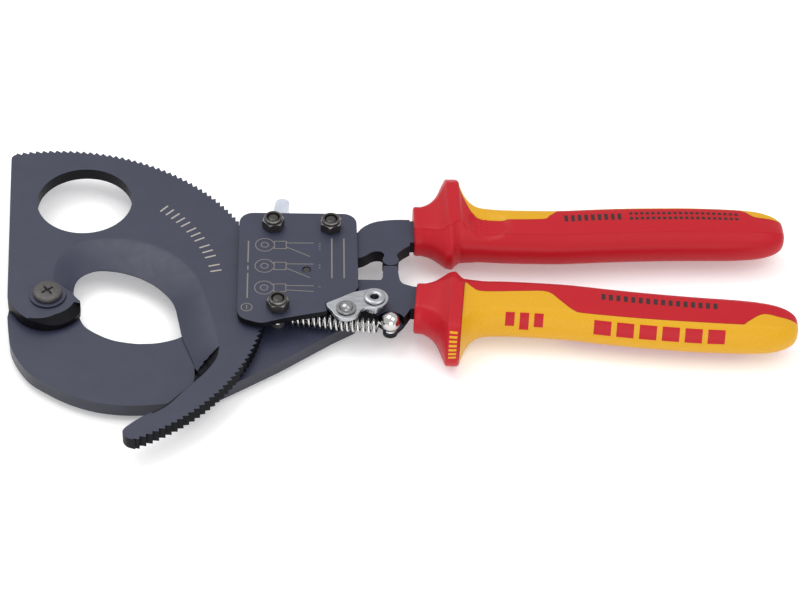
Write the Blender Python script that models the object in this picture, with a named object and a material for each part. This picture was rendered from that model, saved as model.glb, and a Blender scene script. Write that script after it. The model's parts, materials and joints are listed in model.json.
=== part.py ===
"""Ratchet cable cutter: a toothed moving blade, a hooked fixed blade with its cover plate,
two insulated handles, the ratchet pawls, the handle latch and the return spring.

Frame: +X runs from the blade pivot to the handles, +Y to the fixed handle's side, +Z up.
The origin is on the blade pivot axis, in the plane that the tool lies on.
All lengths below are in millimetres, all angles in degrees.
"""
import math

import bmesh
import bpy
from mathutils import Matrix, Vector

MM = 0.001

# Levels of the flat stack, lowest to highest.
PLATE_Z = (2.0, 7.0)
BLADE_Z = (7.3, 11.9)
TANG_Z = (7.3, 12.5)
COVER_Z = (12.9, 15.1)
LATCH_Z = (15.5, 17.0)
GRIP_MID_Z = 10.0
SEAT = 0.2

# Ratchet blade.
TOOTH_COUNT_FULL_TURN = 196
TOOTH_PITCH = 360 / TOOTH_COUNT_FULL_TURN
TIP_RADIUS = 76.46
TOOTH_DEPTH = 1.2
FIRST_TIP_ANGLE = 102.32
TEETH = 91
STEEP_FLANK_SHARE = 0.3
FINGER_HOLE_CENTRE = (10.0, 49.1)
FINGER_HOLE_RADIUS = 17.0
CUTTING_LAND = 0.3
BLADE_BOSS_RADIUS = 12.8
PLATE_BOSS_RADIUS = 13.4

# Joint axes and fasteners, as (x, y).
BLADE_PIVOT = (0.0, 0.0)
HANDLE_HINGE = (90.0, 11.0)
BOLT_TOP_LEFT = (78.1, 33.3)
BOLT_TOP_RIGHT = (98.6, 32.7)
BOLT_BOTTOM_LEFT = (80.1, -7.8)
DRIVE_PAWL_PIVOT = (82.4, 15.4)
LATCH_PIVOT = (113.6, -5.0)
LATCH_BUTTON = (103.7, -10.4)
BALL_STUD = (119.2, -12.6)
DOWELS = ((91.0, 36.0), (103.5, 25.0))

BOLT_RADIUS = 1.95
BOLT_HOLE_RADIUS = 2.25
SPACER_RADIUS = 2.7
PIVOT_BORE_RADIUS = 4.25
BUSH_HOLE_RADIUS = 5.9
HINGE_HOLE_RADIUS = 4.2
DOWEL_RADIUS = 1.5
DOWEL_HOLE_RADIUS = 1.8
PAWL_PIN_RADIUS = 1.4
PAWL_PIN_HOLE_RADIUS = 1.7
LATCH_HOLE_RADIUS = 2.5
LATCH_BUTTON_HOLE_RADIUS = 1.6
BALL_RADIUS = 3.4
BALL_Z = 12.9
BALL_NECK_RADIUS = 1.15
BALL_NECK_HOLE_RADIUS = 1.45
BALL_EAR_RADIUS = 2.6
RELEASE_TAB_CENTRE = (81.2, 48.4)
RELEASE_TAB_RADIUS = 2.6
NUT_ACROSS_FLATS = 7.0

# Return spring.
SPRING_WIRE_RADIUS = 0.4
SPRING_COIL_RADIUS = 2.3
SPRING_COILS = 16
SPRING_Z = 9.95
SPRING_HOOK_Z = 9.28

# Handles: each grip is lofted along its own straight axis, (x, y) of its start and its tilt.
GRIP_START_X = 128.3
FIXED_GRIP = (33.85, 0.9, 1)
MOVING_GRIP = (-0.2, -5.25, -1)
GRIP_STATIONS = (
    # distance along, centre shift outward, half width inner, half width outer, half height
    (0.0, 2.5, 9.7, 9.7, 6.9),
    (6.0, 2.3, 9.8, 9.8, 7.0),
    (8.6, 1.6, 11.2, 13.4, 7.8),
    (10.6, 0.8, 14.2, 21.7, 9.2),
    (12.2, 0.4, 14.8, 26.4, 9.9),
    (16.4, 0.2, 14.6, 26.6, 9.9),
    (18.0, 0.1, 13.8, 22.0, 8.9),
    (20.4, 0.0, 11.5, 15.6, 8.0),
    (24.0, 0.0, 10.9, 12.0, 7.4),
    (31.0, -0.4, 10.8, 11.0, 7.2),
    (53.0, -0.9, 10.9, 10.9, 7.2),
    (78.0, 0.4, 10.9, 10.9, 7.2),
    (100.0, 0.6, 10.7, 10.7, 7.2),
    (114.0, 0.2, 10.3, 10.3, 7.1),
    (123.0, 0.0, 9.4, 9.4, 6.7),
    (129.0, -0.2, 7.8, 7.8, 5.5),
    (132.4, -0.3, 5.1, 5.1, 3.8),
    (133.6, -0.3, 2.5, 2.5, 1.9),
)
GRIP_RING_POINTS = 24
GRIP_ROUNDNESS = 0.8
PAD_START = 16.6
PAD_GAP = 0.3
# Parting line between the two plastics of each grip, as (distance along, outward).
FIXED_PAD_LINE = (
    (PAD_START, 16.0), (19.1, 8.7), (21.1, 4.0), (23.3, 2.4), (27.8, 1.4), (46.0, 1.4), (48.5, 3.0),
    (51.0, 4.9), (55.0, 6.6), (84.0, 7.0), (114.0, 6.8), (119.0, 5.6), (121.4, 3.6), (123.6, 2.6),
    (129.0, 2.6), (140.0, 2.6),
)
MOVING_PAD_LINE = (
    (PAD_START, -3.4), (19.5, -1.6), (23.0, -0.8), (37.3, -2.6), (45.6, -3.1), (50.2, 0.7),
    (55.0, 5.0), (60.0, 6.0), (83.4, 6.6), (111.5, 6.0), (114.6, 5.1), (119.4, 0.8), (122.4, -0.2),
    (126.0, 0.2), (140.0, 0.2),
)

PALETTE = {
    "blade_steel": ((0.085, 0.09, 0.115), 0.42, 0.85),
    "blackened_steel": ((0.03, 0.028, 0.027), 0.4, 0.8),
    "bright_steel": ((0.55, 0.55, 0.54), 0.28, 1.0),
    "zinc": ((0.56, 0.57, 0.58), 0.38, 0.9),
    "bronze": ((0.4, 0.26, 0.12), 0.35, 0.9),
    "red_grip": ((0.56, 0.02, 0.03), 0.45, 0.0),
    "yellow_grip": ((0.82, 0.42, 0.03), 0.45, 0.0),
}


# ---------------------------------------------------------------- modelling helpers

def clear_scene():
    for item in list(bpy.data.objects):
        bpy.data.objects.remove(item, do_unlink=True)


def material(slot):
    made = bpy.data.materials.get(slot)
    if made:
        return made
    colour, roughness, metallic = PALETTE[slot]
    made = bpy.data.materials.new(slot)
    made.use_nodes = True
    shader = made.node_tree.nodes["Principled BSDF"]
    shader.inputs["Base Color"].default_value = (*colour, 1)
    shader.inputs["Roughness"].default_value = roughness
    shader.inputs["Metallic"].default_value = metallic
    made.diffuse_color = (*colour, 1)
    return made


def add_object(name, bm, slot, origin=(0.0, 0.0, 0.0)):
    """Turns a bmesh in millimetres into an object in metres whose origin is at origin."""
    bmesh.ops.recalc_face_normals(bm, faces=bm.faces)
    to_local = Matrix.Scale(MM, 4) @ Matrix.Translation(-Vector(origin))
    bmesh.ops.transform(bm, matrix=to_local, verts=bm.verts)
    mesh = bpy.data.meshes.new(name)
    bm.to_mesh(mesh)
    bm.free()
    item = bpy.data.objects.new(name, mesh)
    item.location = Vector(origin) * MM
    bpy.context.scene.collection.objects.link(item)
    if slot:
        mesh.materials.append(material(slot))
        mesh.shade_smooth()
        mesh.set_sharp_from_angle(angle=math.radians(30))
    else:
        item.hide_render = True
        item.display_type = "WIRE"
    return item


def boolean(target, cutter, operation="DIFFERENCE"):
    modifier = target.modifiers.new(cutter.name, "BOOLEAN")
    modifier.operation = operation
    modifier.solver = "EXACT"
    modifier.object = cutter


def prism_mesh(outline, low, high):
    bm = bmesh.new()
    base = bm.faces.new([bm.verts.new((x, y, low)) for x, y in outline])
    raised = bmesh.ops.extrude_face_region(bm, geom=[base])
    moved = [v for v in raised["geom"] if isinstance(v, bmesh.types.BMVert)]
    bmesh.ops.translate(bm, verts=moved, vec=(0, 0, high - low))
    return bm


def turned_mesh(profile, centre, segments=32):
    """Revolves a profile of (radius, height) points about a vertical axis at centre."""
    bm = bmesh.new()
    rings = []
    for radius, height in profile:
        if radius == 0:
            rings.append([bm.verts.new((centre[0], centre[1], height))])
        else:
            turn = [2 * math.pi * i / segments for i in range(segments)]
            rings.append([bm.verts.new((centre[0] + radius * math.cos(a),
                                        centre[1] + radius * math.sin(a), height)) for a in turn])
    pairs = list(zip(rings, rings[1:]))
    if len(rings[0]) > 1:
        pairs.append((rings[-1], rings[0]))
    for lower, upper in pairs:
        for i in range(segments):
            j = (i + 1) % segments
            corners = [lower[i % len(lower)], lower[j % len(lower)],
                       upper[j % len(upper)], upper[i % len(upper)]]
            unique = list(dict.fromkeys(corners))
            if len(unique) > 2:
                bm.faces.new(unique)
    return bm


def tube_profile(inner, outer, low, high):
    return ((inner, low), (outer, low), (outer, high), (inner, high))


def disc_profile(radius, low, high):
    return ((0, low), (radius, low), (radius, high), (0, high))


def drill(target, centre, radius, low=-1.0, high=25.0, segments=32):
    """Cuts a round hole through target."""
    name = "cutter_%s_%02d" % (target.name, len(target.modifiers))
    tool = add_object(name, turned_mesh(disc_profile(radius, low, high), centre, segments), None)
    boolean(target, tool)


def arc(centre, radius, start, end, steps):
    """Points on an arc, from start to end."""
    angles = [math.radians(start + (end - start) * i / steps) for i in range(steps + 1)]
    return [(centre[0] + radius * math.cos(a), centre[1] + radius * math.sin(a)) for a in angles]


def smooth(points, steps=4, closed=False):
    """Catmull-Rom curve through the given points, of any dimension."""
    count = len(points)
    spans = count if closed else count - 1
    result = []
    for i in range(spans):
        if closed:
            p = [points[(i + k - 1) % count] for k in range(4)]
        else:
            p = [points[min(max(i + k - 1, 0), count - 1)] for k in range(4)]
        for s in range(steps):
            t = s / steps
            w = (-t ** 3 / 2 + t * t - t / 2, 1.5 * t ** 3 - 2.5 * t * t + 1,
                 -1.5 * t ** 3 + 2 * t * t + t / 2, t ** 3 / 2 - t * t / 2)
            result.append(tuple(sum(w[k] * p[k][d] for k in range(4)) for d in range(len(p[0]))))
    if not closed:
        result.append(tuple(points[-1]))
    return result


def rounded(corners, steps=4):
    """Polygon of (x, y, corner radius) with its corners rounded."""
    points = []
    count = len(corners)
    for i, (x, y, radius) in enumerate(corners):
        here = Vector((x, y))
        if radius == 0:
            points.append((x, y))
            continue
        before = (Vector(corners[i - 1][:2]) - here).normalized()
        after = (Vector(corners[(i + 1) % count][:2]) - here).normalized()
        half = before.angle(after) / 2
        reach = radius / math.tan(half)
        centre = here + (before + after).normalized() * radius / math.sin(half)
        first = here + before * reach - centre
        last = here + after * reach - centre
        sweep = first.angle_signed(last)
        for s in range(steps + 1):
            turned = first.copy()
            turned.rotate(Matrix.Rotation(-sweep * s / steps, 2))
            points.append(tuple(centre + turned))
    return points


def wire_object(name, points, radius, slot):
    """A round wire along the points."""
    curve = bpy.data.curves.new(name, "CURVE")
    curve.dimensions = "3D"
    curve.bevel_depth = radius * MM
    curve.bevel_resolution = 1
    curve.use_fill_caps = True
    spline = curve.splines.new("POLY")
    spline.points.add(len(points) - 1)
    for point, where in zip(spline.points, points):
        point.co = (*(Vector(where) * MM), 1)
    curve.materials.append(material(slot))
    item = bpy.data.objects.new(name, curve)
    bpy.context.scene.collection.objects.link(item)
    return item


# ---------------------------------------------------------------- blades

def ratchet_teeth():
    """Tooth outline from the last tooth round to the first, counter-clockwise."""
    points = []
    for tooth in reversed(range(TEETH)):
        tip = FIRST_TIP_ANGLE - TOOTH_PITCH * tooth
        root = tip - TOOTH_PITCH * (1 - STEEP_FLANK_SHARE)
        for angle, radius in ((root, TIP_RADIUS - TOOTH_DEPTH), (tip, TIP_RADIUS)):
            points += arc(BLADE_PIVOT, radius, angle, angle, 1)[:1]
    return points


CABLE_EDGE = (
    (8.4, 6.0), (8.8, 10.5), (10.2, 13.5), (12.8, 15.8), (16.5, 17.2), (21.6, 17.0), (26.6, 15.7),
    (31.7, 13.4), (36.7, 9.8), (40.8, 5.2), (43.8, 0.1), (45.4, -7.0), (47.0, -15.2), (49.1, -21.5),
    (51.8, -29.0),
)
BEVEL_TOP = (
    (1.6, 7.0), (1.0, 14.0), (2.6, 20.5), (7.0, 26.2), (13.4, 29.2), (23.4, 30.0), (31.0, 28.7),
    (38.4, 25.4), (44.7, 20.6), (49.6, 14.4), (53.0, 7.8), (56.0, -3.0), (58.6, -14.5), (60.1, -23.0),
    (60.0, -30.5),
)


def bevel_cutter(name, edge, crest, edge_z, crest_z):
    """Wedge that grinds a plate from its crest line down to its cutting edge."""
    over = 0.12
    bm = bmesh.new()
    sections = []
    for (ex, ey), (cx, cy) in zip(edge, crest):
        low = (ex - over * (cx - ex), ey - over * (cy - ey), edge_z - over * (crest_z - edge_z))
        high = (cx + over * (cx - ex), cy + over * (cy - ey), crest_z + over * (crest_z - edge_z))
        void = (low[0] - (cx - ex) * 0.1, low[1] - (cy - ey) * 0.1, high[2])
        sections.append([bm.verts.new(point) for point in (low, high, void)])
    for first, second in zip(sections, sections[1:]):
        for i in range(3):
            j = (i + 1) % 3
            bm.faces.new((first[i], first[j], second[j], second[i]))
    bm.faces.new(sections[0])
    bm.faces.new(sections[-1])
    return add_object(name, bm, None)


def make_moving_blade():
    tail = smooth(((51.8, -29.0), (52.0, -34.0), (51.2, -39.0), (47.2, -45.5), (42.2, -52.0),
                   (35.2, -57.7), (31.4, -61.0), (29.0, -64.2), (30.4, -67.2), (33.4, -68.4)), 3)
    boss = arc(BLADE_PIVOT, BLADE_BOSS_RADIUS, 206, 334, 13)
    outline = ratchet_teeth()
    outline += [(-16.5, 73.9), (-18.0, 71.9), (-14.1, 1.2), (-13.95, -0.9), (-13.6, -2.8)]
    outline += boss
    outline += smooth(((11.5, -3.2), (10.7, -0.9), (9.4, 2.2)) + CABLE_EDGE, 3)
    outline += tail[1:]
    blade = add_object("moving_blade", prism_mesh(outline, *BLADE_Z), "blade_steel")
    edge = smooth(CABLE_EDGE, 3)
    crest = smooth(BEVEL_TOP, 3)
    drill(blade, FINGER_HOLE_CENTRE, FINGER_HOLE_RADIUS, segments=64)
    drill(blade, BLADE_PIVOT, BUSH_HOLE_RADIUS)
    boolean(blade, bevel_cutter("cutter_blade_bevel", edge, crest, BLADE_Z[0] + CUTTING_LAND, BLADE_Z[1]))
    bush = tube_profile(PIVOT_BORE_RADIUS, 5.6, 7.4, 11.8)
    add_object("pivot_bush", turned_mesh(bush, BLADE_PIVOT), "bronze")


COVER_CORNERS = (
    (66.0, 40.3, 5.0), (66.0, -13.0, 5.0), (74.2, -16.1, 6.0), (82.2, -13.4, 0), (97.2, -9.7, 0),
    (96.6, -5.8, 0), (106.6, -0.4, 1.5), (108.2, 2.4, 1.5), (107.8, 40.1, 5.0),
)


def make_fixed_blade():
    shear_edge = ((8.6, 3.6), (10.4, -2.0), (11.6, -7.2), (13.9, -11.0), (18.7, -14.6), (23.7, -17.0),
                  (29.8, -18.3), (33.8, -18.5), (39.9, -17.8), (46.9, -14.9), (52.5, -8.5), (57.0, 1.0))
    outline = smooth(shear_edge, 3)
    outline += [(61.5, 16.0), (66.0, 32.0), (66.0, 40.0)]
    outline = outline[::-1]
    outline += arc(BLADE_PIVOT, PLATE_BOSS_RADIUS, 54, 182, 12)
    outline += smooth(((-13.9, -6.0), (-12.9, -14.0), (-11.6, -20.6), (-8.5, -27.3), (-4.2, -33.4),
                       (1.7, -38.1), (8.8, -42.6), (16.9, -46.0), (24.5, -47.6), (32.1, -48.0),
                       (41.1, -47.2), (49.5, -45.2), (57.0, -42.4), (63.2, -38.9), (81.0, -26.8)), 2)
    outline += [(98.9, -13.1), (106.8, -7.8), (108.0, -5.0), (108.0, 40.0)]
    plate = add_object("fixed_blade", prism_mesh(outline, *PLATE_Z), "blade_steel")
    crest = [(x + 0.12 * (x - 30), y - 5.5) for x, y in shear_edge[2:10]]
    grind = bevel_cutter("cutter_shear_bevel", smooth(shear_edge[2:10], 3), smooth(crest, 3),
                         PLATE_Z[1] - CUTTING_LAND, PLATE_Z[0])
    drill(plate, BLADE_PIVOT, PIVOT_BORE_RADIUS)
    for centre in (BOLT_TOP_LEFT, BOLT_TOP_RIGHT, BOLT_BOTTOM_LEFT):
        drill(plate, centre, BOLT_HOLE_RADIUS)
    drill(plate, HANDLE_HINGE, 2.3)
    for centre in DOWELS:
        drill(plate, centre, DOWEL_HOLE_RADIUS)
    boolean(plate, grind)
    cover = add_object("cover_plate", prism_mesh(rounded(COVER_CORNERS), *COVER_Z), "blade_steel")
    for centre in (BOLT_TOP_LEFT, BOLT_TOP_RIGHT, BOLT_BOTTOM_LEFT):
        drill(cover, centre, BOLT_HOLE_RADIUS)
    drill(cover, HANDLE_HINGE, 1.5, segments=20)


# ---------------------------------------------------------------- fasteners

def make_blade_pivot():
    post = ((0, 0.0), (6.6, 0.0), (7.2, 0.5), (7.2, 1.7), (4.0, 1.7), (4.0, 12.0), (2.2, 12.0),
            (2.2, 4.5), (0, 4.5))
    add_object("pivot_post", turned_mesh(post, BLADE_PIVOT), "blackened_steel")
    add_object("pivot_washer", turned_mesh(tube_profile(2.3, 6.4, 12.2, 12.8), BLADE_PIVOT),
               "blade_steel")
    screw = ((0, 5.5), (1.95, 5.5), (1.95, 13.0), (4.9, 13.0), (5.1, 13.4), (4.7, 14.2), (3.2, 14.8),
             (0, 15.0))
    head = add_object("pivot_screw", turned_mesh(screw, BLADE_PIVOT), "blackened_steel")
    for name, along, across in (("cutter_cross_x", 2.6, 0.5), ("cutter_cross_y", 0.5, 2.6)):
        corners = ((-along, -across), (along, -across), (along, across), (-along, across))
        turned = [Matrix.Rotation(math.radians(38), 2) @ Vector(c) for c in corners]
        boolean(head, add_object(name, prism_mesh(turned, 13.6, 16.0), None))


def make_bolted_joint(label, centre, turn):
    """A bolt from below with a locking nut on the cover."""
    bolt = ((0, 0.2), (3.4, 0.2), (4.0, 0.7), (4.0, 1.8), (BOLT_RADIUS, 1.8), (BOLT_RADIUS, 18.9),
            (1.5, 19.4), (0, 19.4))
    add_object("bolt_" + label, turned_mesh(bolt, centre, 24), "blackened_steel")
    low = COVER_Z[1] + SEAT
    hexagon = [(centre[0] + NUT_ACROSS_FLATS / math.sqrt(3) * math.cos(math.radians(turn + 60 * i)),
                centre[1] + NUT_ACROSS_FLATS / math.sqrt(3) * math.sin(math.radians(turn + 60 * i)))
               for i in range(6)]
    nut = add_object("nut_" + label, prism_mesh(hexagon, low, low + 4.5), "blackened_steel")
    crown = ((0, low - 2.0), (4.1, low - 2.0), (4.1, low + 2.7), (3.35, low + 3.2), (3.0, low + 3.3),
             (2.8, low + 4.2), (0, low + 4.2))
    shape = add_object("cutter_crown_" + label, turned_mesh(crown, centre, 24), None)
    boolean(nut, shape, "INTERSECT")
    drill(nut, centre, BOLT_HOLE_RADIUS, segments=24)


def make_fasteners():
    make_blade_pivot()
    make_bolted_joint("top_left", BOLT_TOP_LEFT, 10)
    make_bolted_joint("top_right", BOLT_TOP_RIGHT, 25)
    make_bolted_joint("bottom_left", BOLT_BOTTOM_LEFT, 0)
    for label, centre in (("lock_pawl_sleeve", BOLT_TOP_LEFT), ("spring_spacer", BOLT_BOTTOM_LEFT)):
        profile = tube_profile(BOLT_HOLE_RADIUS, SPACER_RADIUS, PLATE_Z[1] + 0.1, COVER_Z[0] - 0.1)
        add_object(label, turned_mesh(profile, centre, 24), "bright_steel")
    hinge = ((0, 2.2), (2.0, 2.2), (2.0, 7.2), (4.0, 7.2), (4.0, 12.7), (1.25, 12.7), (1.25, 14.8),
             (0, 14.8))
    add_object("handle_hinge_pin", turned_mesh(hinge, HANDLE_HINGE), "bright_steel")
    for number, centre in enumerate(DOWELS, 1):
        profile = disc_profile(DOWEL_RADIUS, PLATE_Z[0] + 0.3, TANG_Z[1])
        add_object("tang_dowel_%d" % number, turned_mesh(profile, centre, 20), "bright_steel")


# ---------------------------------------------------------------- handles

def grip_frame(grip):
    """Matrix from a grip's own axes (along, outward, up) to the tool's."""
    start_y, tilt, side = grip
    place = Matrix.Translation((GRIP_START_X, start_y, GRIP_MID_Z))
    mirror = Matrix.Diagonal((1, side, 1, 1))
    return place @ Matrix.Rotation(math.radians(tilt), 4, "Z") @ mirror


def grip_section(shift, inner, outer, height):
    """Rounded rectangle across a grip, as (outward, up) points."""
    half = (inner + outer) / 2
    middle = shift + (outer - inner) / 2
    points = []
    for i in range(GRIP_RING_POINTS):
        angle = 2 * math.pi * (i + 0.5) / GRIP_RING_POINTS
        c, s = math.cos(angle), math.sin(angle)
        points.append((middle + half * math.copysign(abs(c) ** GRIP_ROUNDNESS, c),
                       height * math.copysign(abs(s) ** GRIP_ROUNDNESS, s)))
    return points


def grip_mesh(grip):
    bm = bmesh.new()
    frame = grip_frame(grip)
    rings = []
    for along, shift, inner, outer, height in GRIP_STATIONS:
        rings.append([bm.verts.new(frame @ Vector((along, v, w)))
                      for v, w in grip_section(shift, inner, outer, height)])
    for lower, upper in zip(rings, rings[1:]):
        for i in range(GRIP_RING_POINTS):
            j = (i + 1) % GRIP_RING_POINTS
            bm.faces.new((lower[i], lower[j], upper[j], upper[i]))
    bm.faces.new(rings[0])
    bm.faces.new(rings[-1])
    return bm


def pad_region(grip, line, offset):
    """Outer side of the grip behind its guard, drawn back by offset from the parting line."""
    frame = grip_frame(grip)
    border = [(max(u, PAD_START + offset), v + offset) for u, v in smooth(line, 3)]
    border += [(line[-1][0], 40.0), (PAD_START + offset, 40.0)]
    outline = [(frame @ Vector((u, v, 0))).to_2d() for u, v in border]
    return prism_mesh(outline, -5, 25)


def make_grip(label, grip, line, tang_outline):
    origin = (*HANDLE_HINGE, 0)
    body = add_object(label + "_grip", grip_mesh(grip), "red_grip", origin)
    boolean(body, add_object("cutter_%s_pad" % label, pad_region(grip, line, 0), None))
    pad = add_object(label + "_grip_pad", grip_mesh(grip), "yellow_grip", origin)
    region = add_object("cutter_%s_pad_edge" % label, pad_region(grip, line, PAD_GAP), None)
    boolean(pad, region, "INTERSECT")
    pocket = prism_mesh(tang_outline, TANG_Z[0] - 0.3, TANG_Z[1] + 0.3)
    tool = add_object("cutter_%s_pocket" % label, pocket, None)
    boolean(body, tool)
    boolean(pad, tool)


def tang_bar(grip, half, length, start):
    """Straight bar inside a grip, as (x, y) points in counter-clockwise order."""
    frame = grip_frame(grip)
    side = grip[2]
    corners = ((start, -half * side), (length, -0.7 * half * side), (length, 0.7 * half * side),
               (start, half * side))
    return [tuple((frame @ Vector((u, v, 0))).to_2d()) for u, v in corners]


def make_fixed_handle():
    bar = tang_bar(FIXED_GRIP, 5.6, 105.0, -1.5)
    outline = arc(BOLT_TOP_RIGHT, 8.6, 40, 85, 4) + [(88.0, 39.4), (86.6, 31.0)]
    outline += [(92.5, 25.6), (98.0, 21.0), (107.0, 19.6), (110.2, 20.6), (113.4, 23.0), (116.0, 23.4),
                (117.3, 22.4)]
    outline += arc((119.8, 19.2), 2.9, 140, 400, 14) + [(122.4, 22.4), (124.2, 24.4)]
    outline += bar + [(127.0, 40.1), (121.7, 40.1), (116.5, 39.4), (113.8, 38.5), (111.6, 37.2), (109.8, 35.6),
                      (108.0, 33.0)]
    tang = add_object("fixed_handle_tang", prism_mesh(outline, *TANG_Z), "blade_steel")
    drill(tang, BOLT_TOP_RIGHT, BOLT_HOLE_RADIUS)
    for centre in DOWELS:
        drill(tang, centre, DOWEL_HOLE_RADIUS)
    make_grip("fixed", FIXED_GRIP, FIXED_PAD_LINE, tang_bar(FIXED_GRIP, 5.95, 105.4, -4.0))


def make_moving_handle():
    origin = (*HANDLE_HINGE, 0)
    bar = tang_bar(MOVING_GRIP, 5.6, 105.0, -1.5)
    outline = arc(HANDLE_HINGE, 11.0, 30, 90, 6)
    outline += arc(DRIVE_PAWL_PIVOT, 4.2, 80, 230, 8)
    outline += [(83.2, 3.0), (88.0, -1.6), (98.0, -3.2), (106.0, -7.2), (113.2, -8.0)]
    outline += arc(BALL_STUD, BALL_EAR_RADIUS, 150, 350, 12) + [(123.8, -10.4)]
    outline += bar + [(125.4, 6.3), (123.2, 7.9), (122.6, 9.6), (122.0, 15.4), (121.6, 15.9),
                      (117.6, 15.9), (117.2, 15.4), (116.8, 9.9), (115.6, 8.6), (107.0, 8.8)]
    tang = add_object("moving_handle_tang", prism_mesh(outline, *TANG_Z), "blade_steel", origin)
    drill(tang, HANDLE_HINGE, HINGE_HOLE_RADIUS)
    drill(tang, DRIVE_PAWL_PIVOT, PAWL_PIN_HOLE_RADIUS, segments=20)
    drill(tang, LATCH_PIVOT, LATCH_HOLE_RADIUS)
    drill(tang, BALL_STUD, BALL_NECK_HOLE_RADIUS, segments=20)
    step = [(70.0, -4.0), (87.5, -4.0), (86.8, 3.0), (84.2, 7.2), (84.4, 11.0), (85.0, 13.4),
            (86.0, 16.0), (87.5, 20.0), (88.0, 26.0), (70.0, 26.0)]
    boolean(tang, add_object("cutter_pawl_step", prism_mesh(step, 9.7, 14.0), None))
    ear = arc(BALL_STUD, 5.4, 0, 360, 24)[:-1]
    boolean(tang, add_object("cutter_ball_ear", prism_mesh(ear, 8.8, 14.0), None))
    make_grip("moving", MOVING_GRIP, MOVING_PAD_LINE, tang_bar(MOVING_GRIP, 5.95, 105.4, -4.0))
    ball = [(BALL_RADIUS * math.cos(a), BALL_Z + BALL_RADIUS * math.sin(a))
            for a in (math.radians(degrees) for degrees in range(-66, 90, 12))]
    stud = [(0, 7.4), (BALL_NECK_RADIUS, 7.4), (BALL_NECK_RADIUS, 9.0)] + ball
    stud += [(0, BALL_Z + BALL_RADIUS)]
    add_object("spring_ball_stud", turned_mesh(stud, BALL_STUD, 28), "bright_steel", origin)


# ---------------------------------------------------------------- ratchet pawls

def make_pawls():
    drive = [(77.5, 5.1), (78.5, 3.9), (80.4, 4.9), (83.0, 9.4)]
    drive += arc(DRIVE_PAWL_PIVOT, 3.1, -40, 190, 12) + [(78.4, 10.6)]
    pawl = add_object("drive_pawl", prism_mesh(drive, 9.95, 12.3), "bright_steel",
                      (*DRIVE_PAWL_PIVOT, 0))
    drill(pawl, DRIVE_PAWL_PIVOT, PAWL_PIN_HOLE_RADIUS, segments=20)
    profile = disc_profile(PAWL_PIN_RADIUS, 7.5, 12.6)
    add_object("drive_pawl_pin", turned_mesh(profile, DRIVE_PAWL_PIVOT, 20), "bright_steel",
               (*HANDLE_HINGE, 0))
    lock = [(73.7, 21.95), (75.1, 19.9), (77.2, 20.2), (81.0, 27.0)]
    lock += arc(BOLT_TOP_LEFT, 5.0, -30, 60, 5)
    lock += [(82.6, 42.0)] + arc(RELEASE_TAB_CENTRE, RELEASE_TAB_RADIUS, 0, 180, 8) + [(77.6, 42.0)]
    lock += arc(BOLT_TOP_LEFT, 5.0, 110, 215, 6)
    lever = add_object("lock_pawl", prism_mesh(lock, 7.5, 12.3), "zinc", (*BOLT_TOP_LEFT, 0))
    drill(lever, BOLT_TOP_LEFT, 3.0, segments=24)


def leaf(name, points, width, low, high, origin):
    """Flat spring strip that follows the points."""
    line = [Vector(p) for p in smooth(points, 3)]
    left, right = [], []
    for i, here in enumerate(line):
        along = (line[min(i + 1, len(line) - 1)] - line[max(i - 1, 0)]).normalized()
        across = Vector((-along.y, along.x)) * width / 2
        left.append(tuple(here + across))
        right.append(tuple(here - across))
    add_object(name, prism_mesh(left + right[::-1], low, high), "bright_steel", origin)


def make_pawl_springs():
    leaf("drive_pawl_spring", ((86.4, -1.0), (85.0, 3.0), (83.8, 5.4), (83.0, 7.0)),
         0.4, 10.0, 12.2, (*HANDLE_HINGE, 0))
    leaf("lock_pawl_spring", ((86.0, 40.4), (84.6, 35.0), (84.4, 30.0), (82.4, 26.0), (79.2, 21.6)),
         0.4, 7.6, 12.2, (*BOLT_TOP_LEFT, 0))


# ---------------------------------------------------------------- latch and return spring

def make_latch():
    tip = [(97.2, -9.3), (96.8, -7.9), (97.6, -7.2)]
    top = [(102.2, -4.6), (107.0, -1.9), (110.6, -0.9)]
    end = arc(LATCH_PIVOT, 4.9, 110, -100, 14)
    lobe = arc(LATCH_BUTTON, 5.0, -30, -165, 9)
    outline = tip + top + end + [(109.6, -10.4)] + lobe
    latch = add_object("latch_plate", prism_mesh(outline, *LATCH_Z), "zinc", (*LATCH_PIVOT, 0))
    drill(latch, LATCH_PIVOT, LATCH_HOLE_RADIUS)
    drill(latch, LATCH_BUTTON, LATCH_BUTTON_HOLE_RADIUS, segments=20)
    eyelet = ((1.4, 7.5), (2.2, 7.5), (2.2, 12.75), (3.6, 12.75), (3.6, 15.2), (2.2, 15.2),
              (2.2, 17.2), (3.75, 17.2), (3.4, 18.0), (1.8, 18.0), (1.4, 17.7))
    add_object("latch_eyelet", turned_mesh(eyelet, LATCH_PIVOT), "zinc", (*HANDLE_HINGE, 0))
    dome = [(2.5 * math.cos(math.radians(a)), 17.9 + 1.5 * math.sin(math.radians(a)))
            for a in range(0, 90, 15)]
    button = [(0, 15.6), (1.3, 15.6), (1.3, 17.2), (3.5, 17.2), (3.5, 17.7), (3.2, 17.9)] + dome
    add_object("latch_button", turned_mesh(button + [(0, 19.4)], LATCH_BUTTON, 28), "bright_steel",
               (*LATCH_PIVOT, 0))


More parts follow.
